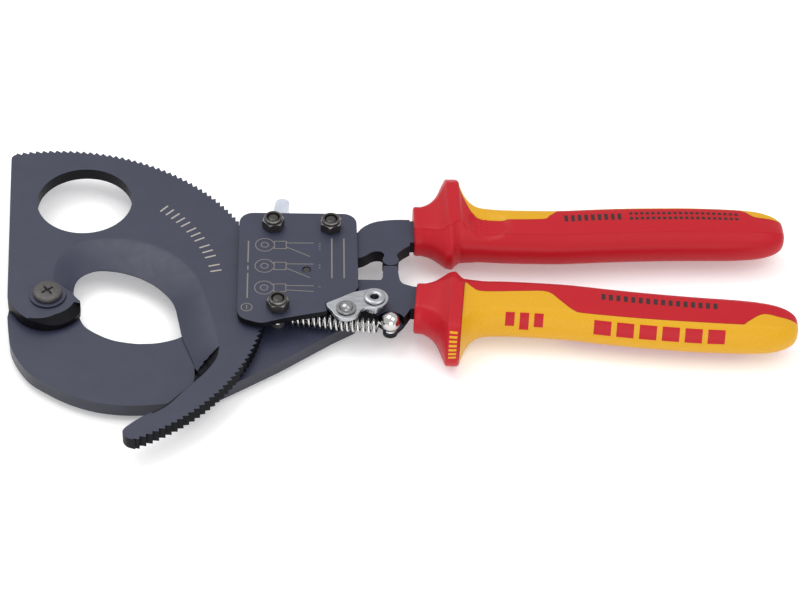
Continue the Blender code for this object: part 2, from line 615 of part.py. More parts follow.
def make_return_spring():
    """Extension spring from its spacer to the neck of the ball stud, a loop at each end."""
    start = Vector((*BOLT_BOTTOM_LEFT, SPRING_Z))
    end = Vector((*BALL_STUD, SPRING_Z))
    along = (end - start).normalized()
    across = Vector((-along.y, along.x, 0))
    up = Vector((0, 0, 1))
    loop = SPACER_RADIUS + SPRING_WIRE_RADIUS + 0.25
    neck = BALL_NECK_RADIUS + SPRING_WIRE_RADIUS + 0.25
    points = [start + loop * (math.cos(a) * along + math.sin(a) * across)
              for a in (math.radians(d) for d in range(-70, -331, -20))]
    first = start + along * (loop + 2.4)
    last = end - along * (neck + 3.8)
    per_turn = 10
    count = SPRING_COILS * per_turn
    for i in range(count + 1):
        angle = 2 * math.pi * i / per_turn
        centre = first + (last - first) * i / count
        points.append(centre + SPRING_COIL_RADIUS * (math.cos(angle) * across + math.sin(angle) * up))
    hook = Vector((end.x, end.y, SPRING_HOOK_Z))
    points += [hook + neck * (math.cos(a) * along + math.sin(a) * across)
               for a in (math.radians(d) for d in range(150, -141, -30))]
    wire_object("return_spring", points, SPRING_WIRE_RADIUS, "bright_steel")


def main():
    clear_scene()
    make_moving_blade()
    make_fixed_blade()
    make_fasteners()
    make_fixed_handle()
    make_moving_handle()
    make_pawls()
    make_pawl_springs()
    make_latch()
    make_return_spring()


main()
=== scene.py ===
"""Looks of the ratchet cable cutter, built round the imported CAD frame.

Lengths are in millimetres until add_piece turns them into metres. Every place comes from the
frame: the joints' axes, the boxes of the CAD nodes, and outlines drawn about them.
"""
import json
from math import cos, hypot, pi, radians, sin, sqrt, tan

import bmesh
import bpy
from mathutils import Matrix, Vector


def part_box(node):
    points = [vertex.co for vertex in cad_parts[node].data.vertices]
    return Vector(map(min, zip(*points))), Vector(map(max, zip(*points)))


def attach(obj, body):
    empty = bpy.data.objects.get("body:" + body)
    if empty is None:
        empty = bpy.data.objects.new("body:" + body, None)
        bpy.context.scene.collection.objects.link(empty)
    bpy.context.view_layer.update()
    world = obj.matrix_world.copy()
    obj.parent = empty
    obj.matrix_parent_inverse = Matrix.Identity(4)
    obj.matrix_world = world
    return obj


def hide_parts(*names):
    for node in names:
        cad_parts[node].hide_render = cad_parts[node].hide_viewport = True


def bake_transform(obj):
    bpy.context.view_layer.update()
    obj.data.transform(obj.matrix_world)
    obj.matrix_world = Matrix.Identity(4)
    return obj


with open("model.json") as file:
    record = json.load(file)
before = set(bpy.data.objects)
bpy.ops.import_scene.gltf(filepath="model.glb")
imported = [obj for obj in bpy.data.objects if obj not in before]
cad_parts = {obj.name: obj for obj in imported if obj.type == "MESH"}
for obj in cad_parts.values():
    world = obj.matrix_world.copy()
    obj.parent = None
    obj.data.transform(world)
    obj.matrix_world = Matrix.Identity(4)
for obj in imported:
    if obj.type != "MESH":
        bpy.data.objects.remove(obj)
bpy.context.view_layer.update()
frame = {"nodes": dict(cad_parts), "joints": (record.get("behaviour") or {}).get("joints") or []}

MM = 0.001


# ---------------- places read from the frame

def levels(node):
    """Lowest and highest z of a CAD node, in millimetres."""
    low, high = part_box(node)
    return low.z / MM, high.z / MM


def centre(node):
    """Middle of a CAD node's box as (x, y), in millimetres."""
    low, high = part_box(node)
    return ((low.x + high.x) / 2 / MM, (low.y + high.y) / 2 / MM)


def joint_axis(name):
    """Where a joint's upright axis stands, as (x, y) in millimetres."""
    joint = next(j for j in frame["joints"] if j["name"] == name)
    return (joint["pos_m"][0] / MM, joint["pos_m"][1] / MM)


PLATE_Z = levels("fixed_blade")
BLADE_Z = levels("moving_blade")
TANG_Z = levels("fixed_handle_tang")
COVER_Z = levels("cover_plate")
LATCH_Z = levels("latch_plate")
BLADE_PIVOT = joint_axis("blade_pivot")
HANDLE_HINGE = joint_axis("handle_hinge")
DRIVE_PAWL_PIVOT = joint_axis("drive_pawl_pivot")
LATCH_PIVOT = joint_axis("latch_pivot")
BOLTS = {label: centre("bolt_" + label) for label in ("top_left", "top_right", "bottom_left")}
BALL_STUD = centre("spring_ball_stud")
LATCH_BUTTON = centre("latch_button")
DOWELS = (centre("tang_dowel_1"), centre("tang_dowel_2"))
GRIP_START_X = 128.3
GRIP_MID_Z = 10.0

# Radii that several pieces share.
BOLT_HOLE = 2.25
DOWEL_HOLE = 1.8
BALL_NECK = 1.15
BLADE_BOSS = 12.8

# Handle grips: y where the axis starts, its tilt in degrees, the outward side, and the body.
GRIPS = {"fixed": (33.85, 0.9, 1, "frame"), "moving": (-0.2, -5.25, -1, "moving_handle")}


# ---------------- materials

def set_inputs(node, values):
    for key, value in values.items():
        node.inputs[key].default_value = value


def new_material(name, colour, roughness, metallic=0.0, specular=0.5):
    made = bpy.data.materials.new(name)
    made.use_nodes = True
    set_inputs(made.node_tree.nodes["Principled BSDF"], {
        "Base Color": (*colour, 1), "Roughness": roughness, "Metallic": metallic,
        "Specular IOR Level": specular})
    return made


def noise(tree, size, stretch=(1, 1, 1), detail=3.0):
    """Noise in object space whose features are about size millimetres across."""
    place = tree.nodes.new("ShaderNodeTexCoord")
    scaled = tree.nodes.new("ShaderNodeMapping")
    set_inputs(scaled, {"Scale": stretch})
    pattern = tree.nodes.new("ShaderNodeTexNoise")
    set_inputs(pattern, {"Scale": 1 / (size * MM), "Detail": detail})
    tree.links.new(place.outputs["Object"], scaled.inputs["Vector"])
    tree.links.new(scaled.outputs["Vector"], pattern.inputs["Vector"])
    return pattern.outputs["Fac"]


def vary_colour(made, size, dark, light, stretch=(1, 1, 1)):
    """Lets the base colour drift between two colours."""
    tree = made.node_tree
    ramp = tree.nodes.new("ShaderNodeValToRGB")
    ramp.color_ramp.elements[0].position = 0.32
    ramp.color_ramp.elements[1].position = 0.68
    ramp.color_ramp.elements[0].color = (*dark, 1)
    ramp.color_ramp.elements[1].color = (*light, 1)
    tree.links.new(noise(tree, size, stretch), ramp.inputs["Fac"])
    tree.links.new(ramp.outputs["Color"], tree.nodes["Principled BSDF"].inputs["Base Color"])


def vary_roughness(made, size, low, high, stretch=(1, 1, 1)):
    """Lets the roughness drift between two values."""
    tree = made.node_tree
    spread = tree.nodes.new("ShaderNodeMapRange")
    set_inputs(spread, {"From Min": 0.3, "From Max": 0.7, "To Min": low, "To Max": high})
    tree.links.new(noise(tree, size, stretch), spread.inputs["Value"])
    tree.links.new(spread.outputs["Result"], tree.nodes["Principled BSDF"].inputs["Roughness"])


def add_bump(made, size, height, stretch=(1, 1, 1), detail=3.0):
    """Fine relief, with a height in millimetres."""
    tree = made.node_tree
    bump = tree.nodes.new("ShaderNodeBump")
    set_inputs(bump, {"Distance": height * MM})
    tree.links.new(noise(tree, size, stretch, detail), bump.inputs["Height"])
    tree.links.new(bump.outputs["Normal"], tree.nodes["Principled BSDF"].inputs["Normal"])


def shade(colour, factor):
    """The colour made darker or lighter, up to white."""
    return tuple(min(1.0, c * factor) for c in colour)


def finish(name, colour, roughness, metallic=0.0, specular=0.5, drift=None, gloss=None, relief=None):
    """Material whose colour drifts, whose roughness varies and which has fine relief, where given.

    drift is the features' size and two factors of the colour, gloss is a size and two values of
    roughness, and relief is a size and a height. A stretch of the pattern may follow in each.
    """
    made = new_material(name, colour, roughness, metallic, specular)
    if drift:
        size, darkest, lightest, *stretch = drift
        vary_colour(made, size, shade(colour, darkest), shade(colour, lightest), *stretch)
    if gloss:
        vary_roughness(made, *gloss)
    if relief:
        add_bump(made, *relief)
    return made


def plastic(name, colour, grain):
    """Satin moulded plastic with a fine eroded grain."""
    return finish(name, colour, 0.38, 0.0, 0.22, (0.6, 0.955, 1.03), (0.5, 0.33, 0.46),
                  (0.42, grain, (1, 1, 1), 2.0))


def printed(name, colour):
    return finish(name, colour, 0.6, 0.0, 0.3, (0.35, 0.88, 1.06))


# Burnished dark steel with a blue cast on the broad faces. Darker copies paint shade on the upright
# faces: nearly black on the cut edges, and lighter on the outer side of the fixed blade.
FACE = finish("burnished_face", (0.023, 0.026, 0.052), 0.44, 0.0, 0.46,
              (9.0, 0.93, 1.07), (3.0, 0.40, 0.49), (0.35, 0.004))
# Near-black copy of the steel for the upright cut edges: painted shade, with a fine relief.
SHADED_EDGE = finish("burnished_edge_painted_shade", (0.004, 0.004, 0.006), 0.42, 0.0, 0.1,
              (4.0, 0.8, 1.3), None, (0.5, 0.012, (1, 1, 0.15)))
# Less dark copy for the upright sides of the fixed blade: painted shade, with a fine relief.
SHADED_SIDE = finish("burnished_side_painted_shade", (0.016, 0.017, 0.03), 0.4, 0.0, 0.4,
              (4.0, 0.8, 1.2, (0.3, 0.3, 1)), None, (0.4, 0.008, (1, 1, 0.1)))
OXIDE = finish("black_oxide", (0.014, 0.012, 0.011), 0.34, 0.0, 0.6,
               (1.2, 0.7, 1.6), (0.8, 0.26, 0.46), (0.4, 0.01))
# Oxide rubbed through to bare steel.
WORN = finish("worn_edge", (0.2, 0.19, 0.18), 0.4, 0.9)
vary_colour(WORN, 1.4, (0.10, 0.095, 0.09), (0.34, 0.33, 0.32))
SCREW = finish("phosphated_screw", (0.07, 0.065, 0.063), 0.45, 0.35, 0.5,
               (0.9, 0.75, 1.25), None, (0.3, 0.01))
ZINC = finish("brushed_zinc", (0.42, 0.43, 0.455), 0.32, 1.0, 0.5, (1.6, 0.86, 1.1, (0.25, 1, 1)),
              (0.6, 0.26, 0.38, (0.2, 1, 1)), (0.4, 0.004, (0.15, 1, 1)))
BRIGHT = finish("bright_steel", (0.62, 0.62, 0.61), 0.2, 1.0, 0.5, (1.0, 0.9, 1.08), (0.7, 0.16, 0.26))
CHROME = finish("polished_ball", (0.58, 0.575, 0.56), 0.09, 1.0, 0.5, (2.5, 0.94, 1.0),
                (1.5, 0.07, 0.13))
RIVET = finish("dull_rivet", (0.30, 0.30, 0.31), 0.24, 1.0, 0.5, (2.0, 0.9, 1.1), (1.5, 0.2, 0.28))
TAB = finish("pale_zinc", (0.60, 0.64, 0.72), 0.3, 0.6, 0.5, (3.0, 0.93, 1.05))
SPACER = finish("dull_spacer", (0.16, 0.15, 0.14), 0.42, 0.7, 0.5, (0.8, 0.8, 1.2, (1, 1, 0.2)))
BRONZE = finish("sintered_bronze", (0.34, 0.21, 0.09), 0.38, 0.9, 0.5, (0.5, 0.7, 1.15))
RED = plastic("red_plastic", (0.42, 0.0055, 0.013), 0.022)
YELLOW = plastic("yellow_plastic", (0.61, 0.318, 0.010), 0.018)
ETCHED = printed("etched_mark", (0.36, 0.33, 0.30))
FAINT_MARK = printed("faint_mark", (0.19, 0.17, 0.155))
DARK_PRINT = printed("dark_print", (0.035, 0.012, 0.014))


# ---------------- mesh helpers

def face_outward(bm):
    bmesh.ops.recalc_face_normals(bm, faces=bm.faces)
    return bm


def show(item):
    """Puts an object in the scene."""
    bpy.context.scene.collection.objects.link(item)
    return item


def arc(middle, radius, start, end, steps):
    """Points on an arc, from start to end."""
    angles = [radians(start + (end - start) * i / steps) for i in range(steps + 1)]
    return [(middle[0] + radius * cos(a), middle[1] + radius * sin(a)) for a in angles]


def blend_point(p, t):
    """Point at t between p[1] and p[2] on the Catmull-Rom curve through four points."""
    w = (-t ** 3 / 2 + t * t - t / 2, 1.5 * t ** 3 - 2.5 * t * t + 1,
         -1.5 * t ** 3 + 2 * t * t + t / 2, t ** 3 / 2 - t * t / 2)
    return tuple(sum(w[k] * p[k][d] for k in range(4)) for d in range(len(p[0])))


def smooth(points, steps):
    """Open Catmull-Rom curve through points of any dimension."""
    last = len(points) - 1
    result = []
    for i in range(last):
        p = [points[min(max(i + k - 1, 0), last)] for k in range(4)]
        result += [blend_point(p, s / steps) for s in range(steps)]
    return result + [tuple(points[-1])]


def rounded(corners, steps=8):
    """Polygon of (x, y, corner radius) with its corners rounded."""
    points = []
    for i, (x, y, radius) in enumerate(corners):
        here = Vector((x, y))
        if radius == 0:
            points.append((x, y))
            continue
        before = (Vector(corners[i - 1][:2]) - here).normalized()
        after = (Vector(corners[(i + 1) % len(corners)][:2]) - here).normalized()
        half = before.angle(after) / 2
        middle = here + (before + after).normalized() * radius / sin(half)
        first = here + before * radius / tan(half) - middle
        last = here + after * radius / tan(half) - middle
        sweep = first.angle_signed(last)
        for s in range(steps + 1):
            turned = first.copy()
            turned.rotate(Matrix.Rotation(-sweep * s / steps, 2))
            points.append(tuple(middle + turned))
    return points


def prism_mesh(outline, low, high):
    """Upright prism over an outline."""
    bm = bmesh.new()
    base = bm.faces.new([bm.verts.new((x, y, low)) for x, y in outline])
    raised = bmesh.ops.extrude_face_region(bm, geom=[base])
    moved = [v for v in raised["geom"] if isinstance(v, bmesh.types.BMVert)]
    bmesh.ops.translate(bm, verts=moved, vec=(0, 0, high - low))
    return face_outward(bm)


def turned_mesh(profile, middle, segments=64):
    """Revolves a profile of (radius, height) points about an upright axis."""
    bm = bmesh.new()
    rings = []
    for radius, height in profile:
        turn = [2 * pi * i / segments for i in range(segments if radius > 0 else 1)]
        rings.append([bm.verts.new((middle[0] + radius * cos(a),
                                    middle[1] + radius * sin(a), height)) for a in turn])
    pairs = list(zip(rings, rings[1:]))
    if len(rings[0]) > 1:
        pairs.append((rings[-1], rings[0]))
    for lower, upper in pairs:
        for i in range(segments):
            j = (i + 1) % segments
            corners = [lower[i % len(lower)], lower[j % len(lower)],
                       upper[j % len(upper)], upper[i % len(upper)]]
            unique = list(dict.fromkeys(corners))
            if len(unique) > 2:
                bm.faces.new(unique)
    return face_outward(bm)


def loft_mesh(sections):
    """Closed skin over sections that have the same number of points, capped at both ends."""
    bm = bmesh.new()
    rings = [[bm.verts.new(point) for point in section] for section in sections]
    count = len(rings[0])
    for lower, upper in zip(rings, rings[1:]):
        for i in range(count):
            j = (i + 1) % count
            bm.faces.new((lower[i], lower[j], upper[j], upper[i]))
    bm.faces.new(rings[0])
    bm.faces.new(rings[-1])
    return face_outward(bm)


def raw_object(name, bm):
    """Turns a bmesh in millimetres into an object in metres."""
    bmesh.ops.scale(bm, vec=(MM, MM, MM), verts=bm.verts)
    mesh = bpy.data.meshes.new(name)
    bm.to_mesh(mesh)
    bm.free()
    return show(bpy.data.objects.new(name, mesh))


def combine(base, tools, operation="DIFFERENCE"):
    """Applies a Boolean with each tool mesh to the base mesh; all are bmeshes in millimetres."""
    item = raw_object("base", base)
    helpers = [raw_object("tool", tool) for tool in tools]
    for helper in helpers:
        modifier = item.modifiers.new("cut", "BOOLEAN")
        modifier.operation = operation
        modifier.solver = "EXACT"
        modifier.object = helper
    bpy.context.view_layer.update()
    result = bpy.data.meshes.new_from_object(item.evaluated_get(bpy.context.evaluated_depsgraph_get()))
    bm = bmesh.new()
    bm.from_mesh(result)
    bmesh.ops.scale(bm, vec=(1 / MM,) * 3, verts=bm.verts)
    bpy.data.meshes.remove(result)
    for item in [item] + helpers:
        mesh = item.data
        bpy.data.objects.remove(item, do_unlink=True)
        bpy.data.meshes.remove(mesh)
    return bm


def round_edges(bm, edges, width, segments=2):
    bmesh.ops.bevel(bm, geom=edges, offset=width, segments=segments, profile=0.5, affect="EDGES",
                    clamp_overlap=True)


def soften(bm, width, height_levels, segments=2, steepest=50):
    """Rounds the rims where flat faces at the given levels meet the walls."""
    rims = []
    for edge in bm.edges:
        if len(edge.link_faces) != 2 or edge.calc_face_angle(0) < radians(steepest):
            continue
        if any(all(abs(v.co.z - z) < 1e-3 for v in edge.verts) for z in height_levels):
            rims.append(edge)
    round_edges(bm, rims, width, segments)


def add_piece(name, bm, materials, body, node=None, choose=None, crease=35, weighted=True):
    """Makes a shown piece that rides on a body, and stands for a CAD node where one is named."""
    item = raw_object(name, bm)
    mesh = item.data
    for made in materials:
        mesh.materials.append(made)
    if choose:
        for face in mesh.polygons:
            face.material_index = choose(face)
    mesh.shade_smooth()
    mesh.set_sharp_from_angle(angle=radians(crease))
    if weighted:
        modifier = item.modifiers.new("even_normals", "WEIGHTED_NORMAL")
        modifier.keep_sharp = True
    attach(item, body)
    if node:
        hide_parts(node)
    return item


def painted_shade_on_sides(face):
    """Slot 1, painted shade, for the upright cut edges; slot 0 for the broad faces."""
    return 1 if abs(face.normal.z) < 0.35 else 0


def hole(middle, radius, low=-2.0, high=30.0, segments=64):
    """Upright cylinder that bores a hole right through."""
    return turned_mesh(((0, low), (radius, low), (radius, high), (0, high)), middle, segments)


def holes_at(middles, radius):
    return [hole(middle, radius, segments=32) for middle in middles]


def add_turned(node, profile, middle, made, body, segments=64):
    """Piece turned about an upright axis, which stands for a CAD node."""
    add_piece(node + "_body", turned_mesh(profile, middle, segments), [made], body, node)


def add_plate(name, node, body, span, outline, holes, rim, materials,
              segments=2, rims=None):
    """Flat plate with holes and rounded rims between two levels, which stands for a CAD node."""
    plate = combine(prism_mesh(outline, *span), holes)
    soften(plate, rim, rims or span, segments)
    # With two materials, the second paints shade on the upright sides.
    choose = painted_shade_on_sides if len(materials) > 1 else None
    add_piece(name, plate, materials, body, node, choose)


# ---------------- blades

FINGER_HOLE = (10.0, 49.1)
FINGER_HOLE_RADIUS = 17.0
TOOTH_PITCH = 360 / 196
TIP_RADIUS = 76.46
TOOTH_DEPTH = 1.2
FIRST_TIP_ANGLE = 102.32
TEETH = 91

CABLE_EDGE = ((8.4, 6.0), (8.8, 10.5), (10.2, 13.5), (12.8, 15.8), (16.5, 17.2), (21.6, 17.0),
              (26.6, 15.7), (31.7, 13.4), (36.7, 9.8), (40.8, 5.2), (43.8, 0.1), (45.4, -7.0),
              (47.0, -15.2), (49.1, -21.5), (51.8, -29.0))
BEVEL_CREST = ((1.6, 7.0), (1.0, 14.0), (2.6, 20.5), (7.0, 26.2), (13.4, 29.2), (23.4, 30.0),
               (31.0, 28.7), (38.4, 25.4), (44.7, 20.6), (49.6, 14.4), (53.0, 7.8), (55.9, -2.6),
               (58.0, -11.0), (59.5, -18.0), (60.1, -22.0))
TAIL = ((51.8, -29.0), (52.0, -34.0), (51.2, -39.0), (47.2, -45.5), (42.2, -52.0), (35.2, -57.7),
        (31.4, -61.0), (29.0, -64.2), (30.4, -67.2), (33.4, -68.4))
EDGE_LAND = 0.3        # steel left under the ground face at its edge
HEEL_WIDTH = 2.8       # widest and deepest part of the scoop in the boss's lower rim
HEEL_DEPTH = 2.5
HEEL_RING = (9.4, 13.0)
SHEAR_EDGE = ((8.6, 3.6), (10.4, -2.0), (11.6, -7.2), (13.9, -11.0), (18.7, -14.6), (23.7, -17.0),
              (29.8, -18.3), (33.8, -18.5), (39.9, -17.8), (46.9, -14.9), (52.5, -8.5), (57.0, 1.0))
HOOK = ((-13.9, -6.0), (-12.9, -14.0), (-11.6, -20.6), (-8.5, -27.3), (-4.2, -33.4), (1.7, -38.1),
        (8.8, -42.6), (16.9, -46.0), (24.5, -47.6), (32.1, -48.0), (41.1, -47.2), (49.5, -45.2),
        (57.0, -42.4), (63.2, -38.9), (81.0, -26.8))
PLATE_BOSS = 13.4
SHEAR_WIDTH = 5.5      # how far the bevel under the fixed blade reaches back from its edge
SHEAR_FAN = 0.12       # how much that bevel widens away from its middle
SHEAR_MIDDLE = 30.0
SHEAR_LAND = 0.8       # height of the wall left above the bevel
OVERRUN = 0.12         # how far a grinding cutter runs past its face, as a share of it


def ratchet_teeth():
    """Teeth with blunted tips and rounded valleys, from the last one round to the first."""
    shape = ((-0.74, 0.10), (-0.70, 0.0), (-0.64, 0.06), (-0.03, 0.97), (0.03, 1.0))
    points = []
    for tooth in reversed(range(TEETH)):
        tip = FIRST_TIP_ANGLE - TOOTH_PITCH * tooth
        for share, rise in shape:
            angle = radians(tip + TOOTH_PITCH * share)
            radius = TIP_RADIUS - TOOTH_DEPTH * (1 - rise)
            points.append((radius * cos(angle), radius * sin(angle)))
    return points


def grind(edge, crest, drops, top, hollow=1.5):
    """Wedge that grinds a face from its crest down to the edge, drops below the top, in a curve."""
    sections = []
    shares = [-OVERRUN] + [i / 10 for i in range(11)] + [1 + OVERRUN]
    for (ex, ey), (cx, cy), drop in zip(edge, crest, drops):
        points = []
        for t in shares:
            inside = min(max(t, 0.0), 1.0)
            fall = 0.9 * (1 - inside) ** hollow + 0.1 * (1 - inside)
            if t < 0:
                fall = 1 + (0.9 * hollow + 0.1) * -t
            if t > 1:
                fall = 0.1 * (1 - t)
            points.append((ex + t * (cx - ex), ey + t * (cy - ey), top - drop * fall + 0.002))
        points.append((points[-1][0], points[-1][1], top + 2.0))
        points.append((points[0][0], points[0][1], top + 2.0))
        sections.append(points)
    return loft_mesh(sections)


# End of the ground face: edge, crest, and the share of the full depth between them.
RUN_OUT = (((52.0, -33.6), (60.3, -24.0), 1.0), ((52.0, -35.4), (59.4, -30.0), 1.0),
           ((51.2, -39.0), (56.0, -36.4), 0.9), ((49.4, -42.2), (52.5, -41.0), 0.6),
           ((46.5, -46.5), (48.0, -46.8), 0.35), ((41.8, -52.4), (42.9, -53.2), 0.2),
           ((35.2, -57.7), (35.7, -58.3), -0.02))


def painted_shade_on_blade(face):
    """Slot 1, painted shade, for the cut edges, the heel scoop and the end of the ground face."""
    x, y = face.center.x / MM, face.center.y / MM
    (ex, ey), (cx, cy) = RUN_OUT[0][:2]
    past_fold = (cx - ex) * (y - ey) - (cy - ey) * (x - ex) < 0
    in_heel = y < -1.0 and HEEL_RING[0] < hypot(x, y) < HEEL_RING[1]
    sloped = 0.2 < face.normal.z < 0.93
    # Sloped faces past the fold and in the heel get painted shade.
    if (past_fold or in_heel) and x < cx + 0.2 and sloped:
        return 1
    return painted_shade_on_sides(face)


def make_moving_blade():
    low, top = BLADE_Z
    outline = ratchet_teeth() + [(-16.3, 74.0), (-17.2, 73.5), (-17.9, 72.4), (-18.0, 71.2)]
    outline += [(-14.1, 1.2), (-13.95, -0.9), (-13.6, -2.8)]
    outline += arc(BLADE_PIVOT, BLADE_BOSS, 206, 334, 38)
    outline += smooth(((11.5, -3.2), (10.7, -0.9), (9.4, 2.2)) + CABLE_EDGE, 6)
    outline += smooth(TAIL, 6)[1:]
    holes = [hole(centre("pivot_bush"), 5.9), hole(FINGER_HOLE, FINGER_HOLE_RADIUS, segments=128)]
    blank = combine(prism_mesh(outline, low, top), holes)
    soften(blank, 0.22, (low, top))
    full = top - low - EDGE_LAND
    steps = 4
    edge = smooth([(11.6, -2.2), (9.9, 1.4)] + list(CABLE_EDGE) + [RUN_OUT[0][0]], steps)
    crest = smooth([(10.4, -2.2), (6.4, 3.4)] + list(BEVEL_CREST) + [RUN_OUT[0][1]], steps)
    drops = smooth([(0.5,), (full * 0.75,)] + [(full,)] * (len(CABLE_EDGE) + 1), steps)
    bevel = grind(edge, crest, [d[0] for d in drops], top)
    last_edge, last_crest = (smooth([row[k] for row in RUN_OUT], steps) for k in (0, 1))
    shares = smooth([(row[2],) for row in RUN_OUT], steps)
    run_out = grind(last_edge, last_crest, [full * s[0] for s in shares], top, hollow=1.0)
    turn = list(range(236, 339, 6)) + [342]
    growth = [min(1.0, max(0.0, (a - 240) / 50)) for a in turn]
    rim = [arc(BLADE_PIVOT, BLADE_BOSS + 0.05, a, a, 1)[0] for a in turn]
    inner = [arc(BLADE_PIVOT, BLADE_BOSS - 0.3 - HEEL_WIDTH * g, a, a, 1)[0]
             for a, g in zip(turn, growth)]
    heel = grind(rim, inner, [0.1 + HEEL_DEPTH * g for g in growth], top, hollow=1.0)
    blade = combine(blank, [bevel, run_out, heel])
    # Cut edges, heel scoop and the end of the ground face take the near-black copy: painted shade.
    add_piece("moving_blade_body", blade, [FACE, SHADED_EDGE], "moving_blade", "moving_blade",
              painted_shade_on_blade)


def shear_grind(edge, top, low):
    """Cutter for the bevel ground under the fixed blade's edge, from the edge down to a crest."""
    drop = top - low
    sections = []
    for x, y in edge:
        dx, dy = SHEAR_FAN * (x - SHEAR_MIDDLE), -SHEAR_WIDTH
        outer = (x - OVERRUN * dx, y - OVERRUN * dy, top + OVERRUN * drop)
        inner = (x + (1 + OVERRUN) * dx, y + (1 + OVERRUN) * dy, low - OVERRUN * drop)
        sections.append((outer, inner, (outer[0], outer[1], inner[2])))
    return loft_mesh(sections)


def make_fixed_blade():
    low, top = PLATE_Z
    outline = smooth(SHEAR_EDGE, 6) + [(61.5, 16.0), (66.0, 32.0), (66.0, 40.0)]
    outline = outline[::-1] + arc(BLADE_PIVOT, PLATE_BOSS, 54, 182, 36)
    outline += smooth(HOOK, 6)
    outline += [(98.9, -13.1), (106.8, -7.8), (108.0, -5.0), (108.0, 40.0)]
    holes = [hole(BLADE_PIVOT, 4.25), hole(HANDLE_HINGE, 2.3)]
    holes += holes_at(BOLTS.values(), BOLT_HOLE) + holes_at(DOWELS, DOWEL_HOLE)
    grinding = shear_grind(smooth(SHEAR_EDGE[2:10], 6), top - SHEAR_LAND, low)
    # Its upright sides take the less dark copy: painted shade.
    add_plate("fixed_blade_body", "fixed_blade", "frame", PLATE_Z, outline, holes + [grinding], 0.3,
              [FACE, SHADED_SIDE])


def make_cover():
    corners = ((66.0, 40.3, 5.0), (66.0, -13.0, 5.0), (74.2, -16.1, 6.0), (82.2, -13.4, 2),
               (97.2, -9.7, 0), (96.6, -5.8, 0.4), (106.6, -0.4, 1.5), (108.2, 2.4, 1.5),
               (107.8, 40.1, 5.0))
    holes = holes_at(BOLTS.values(), BOLT_HOLE) + [hole(HANDLE_HINGE, 1.5, segments=48)]
    # Its cut edges take the near-black copy: painted shade.
    add_plate("cover_plate_body", "cover_plate", "frame", COVER_Z, rounded(corners), holes, 0.42,
              [FACE, SHADED_EDGE], segments=3, rims=COVER_Z[1:])


# ---------------- fasteners

ACROSS_FLATS = 7.0
RECESS_TURN = 38       # degrees that the cross recess is turned


def make_nut(label, turn):
    """Locking nut: chamfered hexagon with a round collar whose rim is worn bright."""
    node = "nut_" + label
    middle = centre(node)
    low, high = levels(node)
    reach = ACROSS_FLATS / sqrt(3)
    hexagon = arc(middle, reach, turn, turn + 300, 5)
    barrel = ((0, low - 1), (3.5, low - 1), (4.0, low + 0.25), (4.1, low + 2.6), (3.55, low + 3.15),
              (0, low + 3.15))
    nut = combine(prism_mesh(hexagon, low, high), [turned_mesh(barrel, middle, 48)], "INTERSECT")
    corners = [e for e in nut.edges if e.calc_face_angle(0) > radians(18)]
    round_edges(nut, corners, 0.12)
    collar = ((2.2, low + 2.6), (3.3, low + 2.6), (3.3, low + 3.5), (3.22, low + 4.0), (3.0, low + 4.3),
              (2.7, low + 4.42), (2.35, low + 4.36), (2.2, low + 4.1))
    nut = combine(nut, [hole(middle, BOLT_HOLE, segments=48)])
    nut = combine(nut, [turned_mesh(collar, middle, 48)], "UNION")

    def wear(face):
        x, y = face.center.x / MM - middle[0], face.center.y / MM - middle[1]
        out, height, small = hypot(x, y), face.center.z / MM - low, face.area < 0.55e-6
        on_rim = height > 4.1 and 2.9 < out < 3.2
        on_corner = height > 2.5 and out > 3.35 and small
        return 1 if on_rim or on_corner else 0
    add_piece(node + "_body", nut, [OXIDE, WORN], "frame", node, wear)
    make_bolt(label, middle)


def make_bolt(label, middle):
    """Bolt with a domed head below and a rounded end inside the nut."""
    node = "bolt_" + label
    low, high = levels(node)
    profile = ((0, low), (3.2, low), (3.7, low + 0.2), (4.0, low + 0.6), (4.0, low + 1.6),
               (1.95, low + 1.6), (1.95, high - 0.6), (1.75, high - 0.2), (1.4, high - 0.02),
               (1.0, high), (0, high))
    add_turned(node, profile, middle, OXIDE, "frame", 48)


def make_pivot():
    """Screw with a cross recess, washer, and the post that they close."""
    low, high = levels("pivot_screw")
    head = high - 2.0
    profile = ((0, low), (1.95, low), (1.95, head), (4.8, head), (4.95, head + 0.1), (5.05, head + 0.4),
               (5.0, head + 1.1), (4.85, head + 1.4), (4.5, head + 1.6), (3.4, head + 1.75),
               (1.6, head + 1.8), (0, head + 1.8))
    screw = turned_mesh(profile, BLADE_PIVOT)
    twist = Matrix.Rotation(radians(RECESS_TURN), 2)
    slots = []
    for along, across in ((2.9, 0.5), (0.5, 2.9)):
        rings = []
        for depth, flare in ((-1.35, 0.62), (1.0, 1.08)):
            corners = ((-along, -across), (along, -across), (along, across), (-along, across))
            turned = [twist @ Vector(c) * flare for c in corners]
            rings.append([(c.x, c.y, high + depth) for c in turned])
        slots.append(loft_mesh(rings))
    point = ((0, high - 1.6), (0.5, high - 1.4), (1.15, high + 0.5), (0, high + 0.5))
    slots.append(turned_mesh(point, BLADE_PIVOT, 24))
    add_piece("pivot_screw_body", combine(screw, slots), [SCREW], "frame", "pivot_screw")
    low, high = levels("pivot_washer")
    ring = ((2.3, low), (6.2, low), (6.4, low + 0.15), (6.4, high - 0.2), (6.25, high - 0.03),
            (6.1, high), (2.3, high))
    add_turned("pivot_washer", ring, BLADE_PIVOT, FACE, "frame")
    low, high = levels("pivot_post")
    post = ((0, low), (6.4, low), (6.9, low + 0.2), (7.2, low + 0.6), (7.2, low + 1.7),
            (4.0, low + 1.7), (4.0, high), (2.2, high), (2.2, low + 4.5), (0, low + 4.5))
    add_turned("pivot_post", post, BLADE_PIVOT, OXIDE, "frame")


# ---------------- handles

